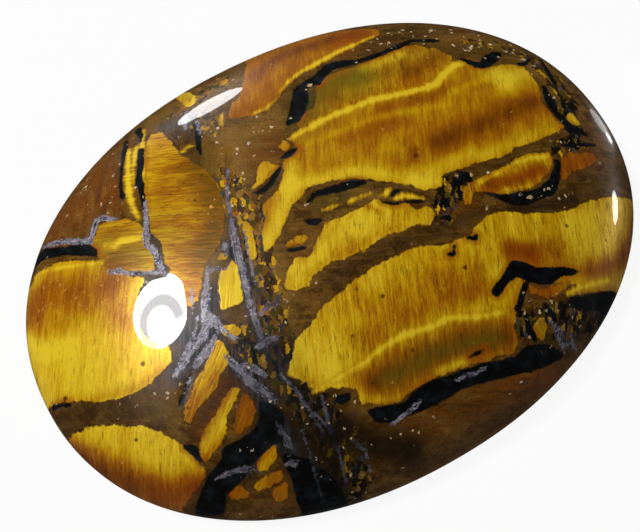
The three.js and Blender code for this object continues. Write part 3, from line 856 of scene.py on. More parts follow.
def nearest_seam(plan):
    """How deep each point lies in its nearest seam, and that seam's tone, streaks and fibre angle."""
    depths = np.stack([outline_depth(plan, seam.outline) for seam in SEAMS.values()])
    nearest = np.argmax(depths, axis=0)
    tone = np.array([seam.tone for seam in SEAMS.values()])[nearest]
    streaks = np.array([seam.streaks for seam in SEAMS.values()])[nearest]
    angle = np.radians([seam.fibres for seam in SEAMS.values()])[nearest]
    return np.max(depths, axis=0), tone, streaks, angle


def ironstone_depth(plan):
    """How deep each point lies in black ironstone in mm, and below 0 outside it."""
    black = [outline_depth(plan, pocket) for pocket in BLACK_POCKETS.values()]
    black += [streak_depth(plan, streak) for streak in BLACK_STREAKS]
    return deepest(black)


def store_markings(mesh, floats, vectors):
    for name, values in floats.items():
        layer = mesh.attributes.new(name, "FLOAT", "POINT")
        layer.data.foreach_set("value", values.astype(np.float32))
    for name, values in vectors.items():
        layer = mesh.attributes.new(name, "FLOAT_VECTOR", "POINT")
        flat = np.stack(values, axis=1).astype(np.float32).reshape(-1)
        layer.data.foreach_set("vector", flat)


def mark_stone(stone, sizes):
    """Stores the markings on the mesh's points, for the material to draw."""
    points = read_points(stone.data) / MM
    height = points[:, 2]
    plan = slid_plan(points, sizes)
    seam, tone, streaks, angle = nearest_seam(plan)
    along = plan[:, 0] * np.cos(angle) + plan[:, 1] * np.sin(angle)
    across = plan[:, 1] * np.cos(angle) - plan[:, 0] * np.sin(angle)
    vein, run, which = vein_run(plan)
    bevel_top = sizes.back_bevel / MM
    floats = {
        "seam": seam,
        "gold_line": deepest([streak_depth(plan, line) for line in GOLD_LINES]),
        "black": ironstone_depth(plan),
        "pit": pit_depth(plan),
        "chip": chip_depth(plan),
        "vein": vein,
        "tone": tone + brushed(plan, TONE_BRUSHES),
        "streaks": streaks,
        "olive": brushed(plan, OLIVE_BRUSHES),
        "rust": brushed(plan, RUST_BRUSHES),
        "dark": brushed(plan, DARK_BRUSHES),
        "tan": brushed(plan, TAN_BRUSHES),
        "fleck": FLECK_BASE + brushed(plan, FLECK_BRUSHES),
        "rubble": brushed(plan, RUBBLE_BRUSHES),
        "smoke": brushed(plan, SMOKE_BRUSHES),
        "ground": np.clip((bevel_top + GROUND_BLEND / 2 - height) / GROUND_BLEND, 0, 1),
    }
    vectors = {
        "grain": (across, along, height),
        "fibre": (np.cos(angle), np.sin(angle), 0 * angle),
        "vein_grain": (vein, run, which),
    }
    store_markings(stone.data, floats, vectors)
    return floats


def sink_hollows(stone, floats):
    """Sinks the dome where the polish fell into a crack, a pit or a soft vein."""
    points = read_points(stone.data)
    sink = np.zeros(len(points))
    for name, (depth, slope) in HOLLOWS.items():
        sink += depth * np.clip(floats[name] / slope + 0.5, 0, 1)
    on_dome = 1 - floats["ground"]
    points[:, 2] -= sink * on_dome * MM * (points[:, 2] > LOWEST_HOLLOW * MM)
    write_points(stone.data, points)


# ---------------------------------------------------------------------------------------------------------
# The material.
# ---------------------------------------------------------------------------------------------------------
FLOAT_MARKS = ("seam", "gold_line", "black", "pit", "chip", "vein", "tone", "streaks",
               "olive", "rust", "dark", "tan", "fleck", "rubble", "smoke", "ground")
VECTOR_MARKS = ("grain", "fibre", "vein_grain")
COLOUR_MIX = {"out": "Result_Color", "data_type": "RGBA"}
SMOOTH = {"interpolation_type": "SMOOTHSTEP"}
NOISE_SHIFT = 7.3  # moves each fibre noise to a place of its own, so no two look alike


def per_mm(size):
    """The scale of a pattern on coordinates in metres whose features are so many millimetres across."""
    return 1 / (size * MM)


def stored_markings(tree):
    """The markings kept on the mesh's points, as outputs by name."""
    outputs = {}
    for name in FLOAT_MARKS:
        outputs[name] = add(tree, "Attribute", out="Fac", attribute_name=name)
    for name in VECTOR_MARKS:
        outputs[name] = add(tree, "Attribute", out="Vector", attribute_name=name)
    return outputs


def rock_noises(tree, place):
    """Noise in the rock as swings about 0. Each has its size in mm, and its whole swing from low to high."""
    kinds = {"wander": (1.1, 0.5), "bite": (0.35, 0.26), "spill": (0.6, 1.6), "clusters": (1.4, 2.6),
             "fray": (0.25, 0.5), "grit": (0.14, 1.0), "patches": (0.7, 1.0)}
    noises = {}
    for name, (size, swing) in kinds.items():
        raw = add(tree, "TexNoise",
                  {"Vector": place, "Scale": per_mm(size), "Detail": 3.0, "Roughness": 0.62})
        noises[name] = add(tree, "Math", {0: raw, 1: swing, 2: -swing / 2}, operation="MULTIPLY_ADD")
    return noises


def fibre_noises(tree, grain):
    """Noise that follows the fibres, from 0 to 1. Each has its size across and along them in mm."""
    kinds = {"bundles": (0.24, 2.4), "hairs": (0.1, 1.0), "sheen_bands": (1.4, 1.8), "dashes": (0.13, 0.8),
             "teeth": (0.16, 0.6), "ribs": (0.7, 4.0), "layers": (2.6, 0.42), "ledges": (1.6, 0.8)}
    noises = {}
    for number, (name, (wide, long)) in enumerate(kinds.items()):
        shift = (NOISE_SHIFT * number, 0, 0)
        scale = (1 / wide, 1 / long, 0.4)
        place = add(tree, "Mapping", {"Vector": grain, "Location": shift, "Scale": scale}, "Vector")
        noises[name] = add(tree, "TexNoise", {"Vector": place, "Scale": 1.0, "Detail": 2.5, "Roughness": 0.6,
                                              "Distortion": 0.25})
    return noises


def seam_colour(tree, colours, marks, rock, fibres):
    """Golden fibre: the tone, stirred by the fibres, picks its colour from umber to bright gold.

    Its bright and dark bands along the fibres are partly the fibres' silky sheen, painted in as colour.
    """
    # The stirring below paints the fibres' silky sheen into the colour, as bright and dark bands along them.
    bundles = add(tree, "Math", {0: fibres["bundles"], 1: 0.5, 2: -0.25}, operation="MULTIPLY_ADD")
    stir = add(tree, "Math", {0: fibres["hairs"], 1: 0.7, 2: bundles}, operation="MULTIPLY_ADD")
    stir = add(tree, "Math", {0: stir, 1: 0.35}, operation="SUBTRACT")
    tone = add(tree, "Math", {0: stir, 1: marks["streaks"], 2: marks["tone"]}, operation="MULTIPLY_ADD")
    tone = add(tree, "Math", {0: fibres["sheen_bands"], 1: 0.36, 2: tone}, operation="MULTIPLY_ADD")
    tone = add(tree, "Math", {0: fibres["ribs"], 1: 0.4, 2: tone}, operation="MULTIPLY_ADD")
    tone = add(tree, "Math", {0: tone, 1: 0.38}, operation="SUBTRACT")
    tone = add(tree, "Math", {0: rock["grit"], 1: 0.22, 2: tone}, operation="MULTIPLY_ADD")
    stops = [(0.0, colours.umber), (0.25, colours.deep_amber), (0.5, colours.amber), (0.75, colours.gold),
             (1.0, colours.bright_gold)]
    shade = fill_ramp(add(tree, "ValToRGB", {0: tone}), stops)
    for name, tint, most in (("olive", colours.olive, 0.52), ("rust", colours.orange, 0.7)):
        share = add(tree, "Math", {0: marks[name], 1: most}, operation="MULTIPLY", use_clamp=True)
        shade = add(tree, "Mix", {"Factor_Float": share, "A_Color": shade, "B_Color": tint}, **COLOUR_MIX)
    dashes = add(tree, "MapRange",
                 {"Value": fibres["dashes"], "From Min": 0.57, "From Max": 0.68, "To Max": 0.6}, **SMOOTH)
    dashes = add(tree, "Math", {0: dashes, 1: marks["streaks"]}, operation="MULTIPLY")
    return add(tree, "Mix", {"Factor_Float": dashes, "A_Color": shade, "B_Color": colours.umber},
               **COLOUR_MIX)


def jasper_colour(tree, colours, marks, rock, fibres):
    """Brown jasper, mottled and gritty, in thin layers along the seams, with rusty, mossy and tan places."""
    share = add(tree, "MapRange", {"Value": rock["patches"], "From Min": -0.12, "From Max": 0.12}, **SMOOTH)
    shade = add(tree, "Mix",
                {"Factor_Float": share, "A_Color": colours.dark_jasper, "B_Color": colours.jasper},
                **COLOUR_MIX)
    tints = (("rust", colours.rust, 0.85), ("olive", colours.moss, 0.7), ("tan", colours.ochre, 0.75))
    for name, tint, most in tints:
        share = add(tree, "Math", {0: marks[name], 1: most}, operation="MULTIPLY", use_clamp=True)
        shade = add(tree, "Mix", {"Factor_Float": share, "A_Color": shade, "B_Color": tint}, **COLOUR_MIX)
    for name, low, high, tint in (("layers", 0.54, 0.7, colours.ochre), ("ledges", 0.56, 0.68, colours.ochre),
                                  ("layers", 0.46, 0.32, colours.soot)):
        share = add(tree, "MapRange",
                    {"Value": fibres[name], "From Min": low, "From Max": high, "To Max": 0.36}, **SMOOTH)
        shade = add(tree, "Mix", {"Factor_Float": share, "A_Color": shade, "B_Color": tint}, **COLOUR_MIX)
    light = add(tree, "MapRange", {"Value": rock["grit"], "From Min": 0.06, "From Max": 0.2, "To Max": 0.4},
                **SMOOTH)
    shade = add(tree, "Mix", {"Factor_Float": light, "A_Color": shade, "B_Color": colours.ochre},
                **COLOUR_MIX)
    dull = add(tree, "MapRange", {"Value": rock["grit"], "From Min": -0.04, "From Max": -0.18, "To Max": 0.6},
               **SMOOTH)
    return add(tree, "Mix", {"Factor_Float": dull, "A_Color": shade, "B_Color": colours.dark_jasper},
               **COLOUR_MIX)


def rubble_colour(tree, colours, marks, place):
    """Broken splinters of seam, jasper and ironstone, 0.2 mm wide and twice as long, with bent sides."""
    bend = add(tree, "TexNoise", {"Vector": place, "Scale": per_mm(0.3), "Detail": 2.0}, "Color")
    bend = add(tree, "VectorMath", {0: bend, "Scale": 0.45 * MM}, "Vector", operation="SCALE")
    bent = add(tree, "VectorMath", {0: place, 1: bend}, "Vector", operation="ADD")
    turned = add(tree, "Mapping", {"Vector": bent, "Rotation": (0, 0, math.radians(66)),
                                   "Scale": (0.44 * MM, 0.22 * MM, 0.4 * MM)},
                 "Vector", vector_type="TEXTURE")
    chip = add(tree, "TexVoronoi", {"Vector": turned, "Scale": 1.0}, "Color")
    parts = add(tree, "SeparateColor", {"Color": chip}, "Red")
    dark_stops = [(0.0, colours.black), (0.3, colours.soot), (0.5, colours.dark_jasper),
                  (0.64, colours.moss), (0.76, colours.vein_shadow), (0.81, colours.jasper),
                  (0.9, colours.ochre), (0.96, colours.gold)]
    tan_stops = [(0.0, colours.soot), (0.08, colours.dark_jasper), (0.26, colours.moss),
                 (0.42, colours.jasper), (0.64, colours.ochre), (0.8, colours.vein_shadow),
                 (0.86, colours.amber), (0.93, colours.gold)]
    dark = fill_ramp(add(tree, "ValToRGB", {0: parts}), dark_stops, "CONSTANT")
    light = fill_ramp(add(tree, "ValToRGB", {0: parts.node.outputs["Green"]}), tan_stops, "CONSTANT")
    share = add(tree, "Math", {0: marks["tan"], 1: 1.5}, operation="MULTIPLY", use_clamp=True)
    return add(tree, "Mix", {"Factor_Float": share, "A_Color": dark, "B_Color": light}, **COLOUR_MIX)


def strand_noise(tree, place):
    """Fine strands about 0.2 mm wide that run through the rock beside the veins. It is 1 on a strand."""
    turned = add(tree, "Mapping", {"Vector": place, "Rotation": (0, 0, math.radians(62)),
                                   "Scale": (2.2 * MM, 0.2 * MM, 1.0 * MM)}, "Vector", vector_type="TEXTURE")
    wave = add(tree, "TexNoise",
               {"Vector": turned, "Scale": 1.0, "Detail": 2.0, "Roughness": 0.55, "Distortion": 0.6})
    return add(tree, "MapRange", {"Value": wave, "From Min": 0.42, "From Max": 0.62}, **SMOOTH)


def matrix_colour(tree, colours, marks, rock, fibres, place):
    """The rock between the seams: jasper, broken rubble, dark places, and strands of hematite."""
    loose = add(tree, "Math", {0: marks["rubble"], 1: rock["spill"]}, operation="ADD")
    broken = add(tree, "MapRange", {"Value": loose, "From Min": 0.35, "From Max": 0.5}, **SMOOTH)
    dark = add(tree, "Math", {0: marks["dark"], 1: rock["patches"]}, operation="ADD")
    dark = add(tree, "Math", {0: dark, 1: 0.95}, operation="MULTIPLY", use_clamp=True)
    dark = add(tree, "Math", {0: dark, 1: 0.93}, operation="MINIMUM")
    jasper = jasper_colour(tree, colours, marks, rock, fibres)
    colour = add(tree, "Mix", {"Factor_Float": dark, "A_Color": jasper, "B_Color": colours.soot},
                 **COLOUR_MIX)
    dull = add(tree, "Math", {0: marks["dark"], 1: 0.62}, operation="MULTIPLY", use_clamp=True)
    rubble = add(tree, "Mix", {"Factor_Float": dull, "A_Color": rubble_colour(tree, colours, marks, place),
                               "B_Color": colours.soot}, **COLOUR_MIX)
    colour = add(tree, "Mix", {"Factor_Float": broken, "A_Color": colour, "B_Color": rubble}, **COLOUR_MIX)
    strands = strand_noise(tree, place)
    smoke = add(tree, "Math", {0: marks["smoke"], 1: rock["patches"]}, operation="ADD")
    smoke = add(tree, "Math", {0: smoke, 1: 0.95}, operation="MULTIPLY", use_clamp=True)
    strand_colour = add(
        tree, "Mix", {"Factor_Float": strands, "A_Color": colours.blue_black, "B_Color": colours.vein_shadow},
        **COLOUR_MIX)
    return add(tree, "Mix", {"Factor_Float": smoke, "A_Color": colour, "B_Color": strand_colour},
               **COLOUR_MIX)


def vein_colour(tree, colours, marks, rock):
    """Grey hematite: strands along the vein, about 0.12 mm wide, with bright flakes that are painted glints.

    The grey is partly the hematite's own and partly its metallic sheen, painted in.
    """
    place = add(tree, "Mapping", {"Vector": marks["vein_grain"], "Scale": (1 / 0.12, 1 / 0.7, 3.7)}, "Vector")
    wave = add(tree, "TexNoise",
               {"Vector": place, "Scale": 1.0, "Detail": 2.5, "Roughness": 0.6, "Distortion": 0.4})
    share = add(tree, "MapRange", {"Value": wave, "From Min": 0.36, "From Max": 0.6}, **SMOOTH)
    shade = add(tree, "Mix",
                {"Factor_Float": share, "A_Color": colours.vein_shadow, "B_Color": colours.grey_vein_and_sheen},
                **COLOUR_MIX)
    dull = add(tree, "MapRange", {"Value": wave, "From Min": 0.42, "From Max": 0.34, "To Max": 0.8}, **SMOOTH)
    shade = add(tree, "Mix", {"Factor_Float": dull, "A_Color": shade, "B_Color": colours.blue_black},
                **COLOUR_MIX)
    # Painted glints: bright flecks that stand in for light off the hematite flakes.
    flakes = add(tree, "MapRange",
                 {"Value": rock["grit"], "From Min": 0.06, "From Max": 0.16, "To Max": 0.85}, **SMOOTH)
    shade = add(tree, "Mix", {"Factor_Float": flakes, "A_Color": shade, "B_Color": colours.flake_glint},
                **COLOUR_MIX)
    for name, most, tint in (("tan", 0.62, colours.brown_vein), ("dark", 0.62, colours.blue_black)):
        share = add(tree, "Math", {0: marks[name], 1: most}, operation="MULTIPLY", use_clamp=True)
        shade = add(tree, "Mix", {"Factor_Float": share, "A_Color": shade, "B_Color": tint}, **COLOUR_MIX)
    return shade


def speck_shares(tree, marks, rock, place):
    """Where pale quartz specks and chips show, and a number for each speck's stain.

    The specks are up to 0.3 mm across, in loose clusters.
    """
    bend = add(tree, "TexNoise", {"Vector": place, "Scale": per_mm(0.12), "Detail": 2.0}, "Color")
    bend = add(tree, "VectorMath", {0: bend, "Scale": 0.34 * MM}, "Vector", operation="SCALE")
    bent = add(tree, "VectorMath", {0: place, 1: bend}, "Vector", operation="ADD")
    grid = {"Vector": bent, "Scale": per_mm(0.3)}
    kind = add(tree, "TexVoronoi", grid, "Color", distance="MANHATTAN")
    distance = kind.node.outputs["Distance"]
    pick = add(tree, "SeparateColor", {"Color": kind}, "Green")
    size = add(tree, "SeparateColor", {"Color": kind}, "Blue")
    chance = add(tree, "Math", {0: marks["fleck"], 1: rock["clusters"]}, operation="ADD")
    chance = add(tree, "Math", {0: chance, 1: 0.34}, operation="MULTIPLY")
    chosen = add(tree, "Math", {0: pick, 1: chance}, operation="LESS_THAN")
    reach = add(tree, "Math", {0: size, 1: 0.38, 2: 0.16}, operation="MULTIPLY_ADD")
    depth = add(tree, "Math", {0: reach, 1: distance}, operation="SUBTRACT")
    speck = add(tree, "MapRange", {"Value": depth, "From Min": -0.05, "From Max": 0.12, "To Max": 0.85},
                **SMOOTH)
    speck = add(tree, "Math", {0: chosen, 1: speck}, operation="MULTIPLY")
    ragged_chip = add(tree, "Math", {0: marks["chip"], 1: rock["fray"]}, operation="ADD")
    chip = add(tree, "MapRange", {"Value": ragged_chip, "From Min": -0.02, "From Max": 0.05, "To Max": 0.95},
               **SMOOTH)
    return speck, chip, size


def ragged_edge(tree, rock, fibres):
    """How far the edges of seams and pockets wander, in mm."""
    teeth = add(tree, "Math", {0: fibres["teeth"], 1: 0.2, 2: -0.1}, operation="MULTIPLY_ADD")
    ragged = add(tree, "Math", {0: rock["wander"], 1: rock["bite"]}, operation="ADD")
    return add(tree, "Math", {0: ragged, 1: teeth}, operation="ADD")


def lay_seams(tree, colours, rock, colour, gold, depth):
    """Seams over the matrix, with a broken dark line between. Returns the colour and the seams' share."""
    in_seam = add(tree, "MapRange", {"Value": depth, "From Min": -0.05, "From Max": 0.06}, **SMOOTH)
    colour = add(tree, "Mix", {"Factor_Float": in_seam, "A_Color": colour, "B_Color": gold}, **COLOUR_MIX)
    outer = add(tree, "MapRange", {"Value": depth, "From Min": -0.16, "From Max": -0.03}, **SMOOTH)
    inner = add(tree, "MapRange", {"Value": depth, "From Min": 0.08, "From Max": -0.02}, **SMOOTH)
    broken = add(tree, "MapRange",
                 {"Value": rock["spill"], "From Min": -0.2, "From Max": 0.25, "To Max": 0.7}, **SMOOTH)
    border = add(tree, "Math", {0: outer, 1: inner}, operation="MULTIPLY")
    border = add(tree, "Math", {0: border, 1: broken}, operation="MULTIPLY")
    colour = add(tree, "Mix", {"Factor_Float": border, "A_Color": colour, "B_Color": colours.umber},
                 **COLOUR_MIX)
    return colour, in_seam


def lay_gold_lines(tree, colours, marks, fibres, ragged, colour):
    """Bright lines along the seams, which fade at their sides."""
    line = add(tree, "Math", {0: ragged, 1: 0.4, 2: marks["gold_line"]}, operation="MULTIPLY_ADD")
    line = add(tree, "Math", {0: fibres["bundles"], 1: 0.5, 2: line}, operation="MULTIPLY_ADD")
    line = add(tree, "Math", {0: line, 1: 0.25}, operation="SUBTRACT")
    in_line = add(tree, "MapRange", {"Value": line, "From Min": -0.14, "From Max": 0.12, "To Max": 0.92},
                  **SMOOTH)
    bright = add(tree, "MapRange", {"Value": line, "From Min": -0.02, "From Max": 0.2}, **SMOOTH)
    line_colour = add(tree, "Mix",
                      {"Factor_Float": bright, "A_Color": colours.gold, "B_Color": colours.bright_gold},
                      **COLOUR_MIX)
    return add(tree, "Mix", {"Factor_Float": in_line, "A_Color": colour, "B_Color": line_colour},
               **COLOUR_MIX)


def lay_ironstone(tree, colours, marks, rock, ragged, in_seam, colour):
    """Black ironstone with cool places. Inside a seam its edge glows orange."""
    pocket = add(tree, "Math", {0: ragged, 1: 0.7, 2: marks["black"]}, operation="MULTIPLY_ADD")
    in_black = add(tree, "MapRange", {"Value": pocket, "From Min": -0.06, "From Max": 0.06}, **SMOOTH)
    glow = add(tree, "MapRange", {"Value": pocket, "From Min": -0.4, "From Max": -0.1, "To Max": 0.55},
               **SMOOTH)
    glow = add(tree, "Math", {0: glow, 1: in_seam}, operation="MULTIPLY")
    colour = add(tree, "Mix", {"Factor_Float": glow, "A_Color": colour, "B_Color": colours.orange},
                 **COLOUR_MIX)
    cool = add(tree, "MapRange", {"Value": rock["patches"], "From Min": -0.05, "From Max": 0.2}, **SMOOTH)
    black = add(tree, "Mix", {"Factor_Float": cool, "A_Color": colours.black, "B_Color": colours.blue_black},
                **COLOUR_MIX)
    return add(tree, "Mix", {"Factor_Float": in_black, "A_Color": colour, "B_Color": black}, **COLOUR_MIX)


def lay_pits_and_veins(tree, colours, marks, rock, colour):
    """Red-brown pits and grey hematite veins. Returns the colour and the veins' share."""
    in_pit = add(tree, "MapRange",
                 {"Value": marks["pit"], "From Min": -0.05, "From Max": 0.05, "To Max": 0.85}, **SMOOTH)
    colour = add(tree, "Mix", {"Factor_Float": in_pit, "A_Color": colour, "B_Color": colours.pit},
                 **COLOUR_MIX)
    fray = add(tree, "Math", {0: marks["vein"], 1: rock["fray"]}, operation="ADD")
    in_vein = add(tree, "MapRange", {"Value": fray, "From Min": -0.06, "From Max": 0.06, "To Max": 0.95},
                  **SMOOTH)
    grey = vein_colour(tree, colours, marks, rock)
    colour = add(tree, "Mix", {"Factor_Float": in_vein, "A_Color": colour, "B_Color": grey}, **COLOUR_MIX)
    return colour, in_vein


def lay_quartz(tree, colours, marks, rock, place, depth, in_seam, colour):
    """Pale quartz specks and chips over everything. In a seam both are golden, and the specks fainter."""
    speck, chip, size = speck_shares(tree, marks, rock, place)
    calm = add(tree, "MapRange", {"Value": depth, "From Min": 0.1, "From Max": -0.1, "To Min": 0.65})
    speck = add(tree, "Math", {0: speck, 1: calm}, operation="MULTIPLY")
    pale = add(tree, "Math", {0: speck, 1: chip}, operation="MAXIMUM")
    tint = add(tree, "Mix", {"Factor_Float": size, "A_Color": colours.warm_speck, "B_Color": colours.speck},
               **COLOUR_MIX)
    tint = add(tree, "Mix", {"Factor_Float": in_seam, "A_Color": tint, "B_Color": colours.seam_speck},
               **COLOUR_MIX)
    return add(tree, "Mix", {"Factor_Float": pale, "A_Color": colour, "B_Color": tint}, **COLOUR_MIX)


def polished_surface(tree, marks, fibres, colour, in_seam, in_vein):
    """The glassy skin over silky fibre. The ground back has no skin and is rougher."""
    silk = add(tree, "Math", {0: in_seam, 1: 0.12}, operation="MULTIPLY")
    lustre = add(tree, "Math", {0: in_vein, 1: 0.12}, operation="MULTIPLY")
    silky_bump = add(tree, "Math", {0: fibres["bundles"], 1: in_seam}, operation="MULTIPLY")
    return add(tree, "BsdfPrincipled", {
        "Base Color": colour,
        "Metallic": add(tree, "Math", {0: silk, 1: lustre}, operation="MAXIMUM"),
        "Roughness": add(tree, "MapRange", {"Value": marks["ground"], "To Min": 0.36, "To Max": 0.62}),
        "IOR": 1.54,
        "Specular IOR Level": 0.16,
        "Normal": add(tree, "Bump", {"Strength": 0.3, "Distance": 0.04 * MM, "Height": silky_bump}, "Normal"),
        "Anisotropic": 0.5,
        "Tangent": marks["fibre"],
        "Coat Weight": add(tree, "MapRange", {"Value": marks["ground"], "To Min": 0.5, "To Max": 0.0}),
        "Coat Roughness": 0.02,
        "Coat IOR": 1.54,
    }, "BSDF")


def polished_tigers_eye(colours):
    """Polished tiger's eye in ironstone: silky quartz fibres, brown jasper, black ironstone, grey hematite.

    The laps leave a glassy skin, so lamps mirror sharply in it while the fibres below stay silky.
    """
    material = bpy.data.materials.new("polished_tigers_eye_in_ironstone")
    material.use_nodes = True
    tree = material.node_tree
    tree.nodes.clear()
    place = add(tree, "TexCoord", out="Object")
    marks = stored_markings(tree)
    rock = rock_noises(tree, place)
    fibres = fibre_noises(tree, marks["grain"])
    ragged = ragged_edge(tree, rock, fibres)
    depth = add(tree, "Math", {0: marks["seam"], 1: ragged}, operation="ADD")
    colour = matrix_colour(tree, colours, marks, rock, fibres, place)
    gold = seam_colour(tree, colours, marks, rock, fibres)
    colour, in_seam = lay_seams(tree, colours, rock, colour, gold, depth)
    colour = lay_gold_lines(tree, colours, marks, fibres, ragged, colour)
    colour = lay_ironstone(tree, colours, marks, rock, ragged, in_seam, colour)
    colour, in_vein = lay_pits_and_veins(tree, colours, marks, rock, colour)
    colour = lay_quartz(tree, colours, marks, rock, place, depth, in_seam, colour)
    shader = polished_surface(tree, marks, fibres, colour, in_seam, in_vein)
    add(tree, "OutputMaterial", {"Surface": shader})
    return material


def pale_table(settings):
    """White laminate, so overlit that the stone's shadow almost vanishes."""
    material = bpy.data.materials.new("white_laminate_table")
    material.use_nodes = True
    tree = material.node_tree
    tree.nodes.clear()
    place = add(tree, "TexCoord", out="Object")
    clouds = add(tree, "TexNoise", {"Vector": place, "Scale": per_mm(30), "Detail": 2.0})
    colour = add(tree, "Mix",
                 {"Factor_Float": clouds, "A_Color": linear("#484848"), "B_Color": linear("#505050")},
                 **COLOUR_MIX)
    shader = add(tree, "BsdfPrincipled", {
        "Base Color": colour,
        "Roughness": 0.6,
        "Specular IOR Level": 0.0,
        "Emission Color": linear("#ffffff"),
        "Emission Strength": settings.table_glow,
    }, "BSDF")
    add(tree, "OutputMaterial", {"Surface": shader})
    return material


# ---------------------------------------------------------------------------------------------------------
# What a user may change.
# ---------------------------------------------------------------------------------------------------------
class CabochonSizes(bpy.types.PropertyGroup):
    length: bpy.props.FloatProperty(
        name="Length", description="Length of the oval", default=HIGH.x - LOW.x, unit="LENGTH")
    width: bpy.props.FloatProperty(
        name="Width", description="Width of the oval", default=HIGH.y - LOW.y, unit="LENGTH")
    thickness: bpy.props.FloatProperty(
        name="Thickness", description="Height of the dome's top over the back", default=HIGH.z - LOW.z,
        unit="LENGTH")
    girdle_height: bpy.props.FloatProperty(
        name="Girdle height", description="Height of the upright wall's top", default=1.2 * MM, unit="LENGTH")
    back_bevel: bpy.props.FloatProperty(
        name="Back bevel", description="Height of the chamfer round the back, and its width at the sides",
        default=0.4 * MM, unit="LENGTH")


def colour_property(name, description, code):
    return bpy.props.FloatVectorProperty(name=name, description=description, default=linear(code), size=4,
                                         subtype="COLOR", min=0, max=1)


class CabochonColours(bpy.types.PropertyGroup):
    bright_gold: colour_property("Bright gold", "The seams where they shine most", "#f6d02a")
    gold: colour_property("Gold", "The seams where they are yellow", "#d6a40a")
    amber: colour_property("Amber", "The seams where they are amber", "#ac6806")
    deep_amber: colour_property("Deep amber", "The seams where they are deepest", "#824404")
    umber: colour_property("Umber", "The dark line round a seam", "#4a2606")
    olive: colour_property("Olive", "The greenish seams", "#7c6a12")
    orange: colour_property("Orange", "Rusty places in the seams", "#a04a04")
    ochre: colour_property("Ochre", "The light grit in the brown rock", "#98702a")
    jasper: colour_property("Jasper", "The brown rock between the seams", "#765014")
    dark_jasper: colour_property("Dark jasper", "The darker brown rock", "#482c0a")
    rust: colour_property("Rust", "The red-brown rock", "#7a420c")
    moss: colour_property("Moss", "The green-brown rock", "#4c430c")
    soot: colour_property("Soot", "The darkest brown rock", "#1b1208")
    black: colour_property("Black", "The ironstone", "#090908")
    blue_black: colour_property("Blue black", "The ironstone's cool places", "#151b20")
    # The vein's grey is partly painted sheen, and the flake glints are painted highlights.
    grey_vein_and_sheen: colour_property("Grey vein", "The hematite veins", "#9a949e")
    brown_vein: colour_property("Brown vein", "The purple-brown veins in the middle", "#5e4a4c")
    vein_shadow: colour_property("Vein shadow", "The darker places in the veins", "#46424e")
    flake_glint: colour_property("Flake", "The bright flakes in the veins", "#d0ccd8")
    pit: colour_property("Pit", "The red-brown pits", "#4c1c08")
    speck: colour_property("Speck", "The pale quartz specks", "#e8d2b0")
    seam_speck: colour_property("Seam speck", "The quartz specks in the seams", "#e2a850")
    warm_speck: colour_property("Warm speck", "The quartz specks stained by iron", "#b48a52")


class CabochonStage(bpy.types.PropertyGroup):
    table_glow: bpy.props.FloatProperty(
        name="Table glow", description="How overlit the table is", default=0.92, min=0)
    lamp_power: bpy.props.FloatProperty(
        name="Lamp power", description="How many times as strong all the lamps are", default=1.0, min=0)


# ---------------------------------------------------------------------------------------------------------
# Stage.
# ---------------------------------------------------------------------------------------------------------
TABLE_SIZE = 5.0
TABLE_GAP = 0.02 * MM  # keeps the back and the table from flickering into each other
CAMERA_AZIMUTH = -29.243  # degrees round from -y towards +x
CAMERA_HEIGHT_ANGLE = 70.0  # degrees above the table
CAMERA_DISTANCE = 64.835 * MM
CAMERA_TARGET = (-1.651 * MM, -0.996 * MM, 3.5 * MM)
CAMERA_LENS = 60.0

# Each lamp mirrors in the dome at a spot. Its azimuth and height from there are in degrees, its distance
# and its size in millimetres. The two that lie low stand in for window light on the table by the right rim.
Lamp = namedtuple("Lamp", "spot azimuth height distance size radiance")
LAMPS = {
    "round_lamp": Lamp((-11.6, 0.2, 6.1), 135.0, 61.3, 300, (88, 68), 64.0),
    "far_window": Lamp((-2.8, 11.3, 5.1), 84.9, 11.5, 500, (90, 100), 20.0),
    "right_strip": Lamp((16.3, -6.7, 3.7), -11.2, 5.5, 500, (90, 62), 20.0),
    "right_glint": Lamp((18.8, -2.3, 3.1), 10.1, -19.3, 8, (1.2, 1.4), 14.0),
    "right_glow": Lamp((18.9, -1.0, 3.1), 14.0, -18.0, 8, (2.8, 3.0), 2.6),
}

# The middle of the bulb's clear disc, on a lamp that reaches from -1 to 1, and the way to its collar's gap.
BULB_DISC = (0.3, 0.17)
BULB_GAP = math.radians(60)


def shade_bulb(light):
    """Draws the bulb's clear disc and the grey collar part of the way round it, which mirror in the stone."""
    light.use_nodes = True
    tree = light.node_tree
    tree.nodes.clear()
    across = add(tree, "NewGeometry", out="Parametric")
    middle = (-1.0 - BULB_DISC[0], -1.0 - BULB_DISC[1], 0)
    centred = add(tree, "Mapping", {"Vector": across, "Location": middle, "Scale": (2, 2, 0)}, "Vector")
    radius = add(tree, "VectorMath", {0: centred}, "Value", operation="LENGTH")
    parts = add(tree, "SeparateXYZ", {0: centred}, "X")
    angle = add(tree, "Math", {0: parts.node.outputs["Y"], 1: parts}, operation="ARCTAN2")
    outside_disc = add(tree, "MapRange", {"Value": radius, "From Min": 0.46, "From Max": 0.56}, **SMOOTH)
    in_collar = add(tree, "MapRange", {"Value": radius, "From Min": 0.9, "From Max": 0.78}, **SMOOTH)
    gap = add(tree, "Math", {0: angle, 1: BULB_GAP}, operation="SUBTRACT")
    gap = add(tree, "Math", {0: gap}, operation="COSINE")
    closed = add(tree, "MapRange", {"Value": gap, "From Min": 0.75, "From Max": 0.35}, **SMOOTH)
    grey = add(tree, "Math", {0: outside_disc, 1: in_collar}, operation="MULTIPLY")
    grey = add(tree, "Math", {0: grey, 1: closed}, operation="MULTIPLY")
    strength = add(tree, "MapRange", {"Value": grey, "To Min": 1.0, "To Max": 0.34})
    add(tree, "OutputLight", {"Surface": add(tree, "Emission", {"Strength": strength})})


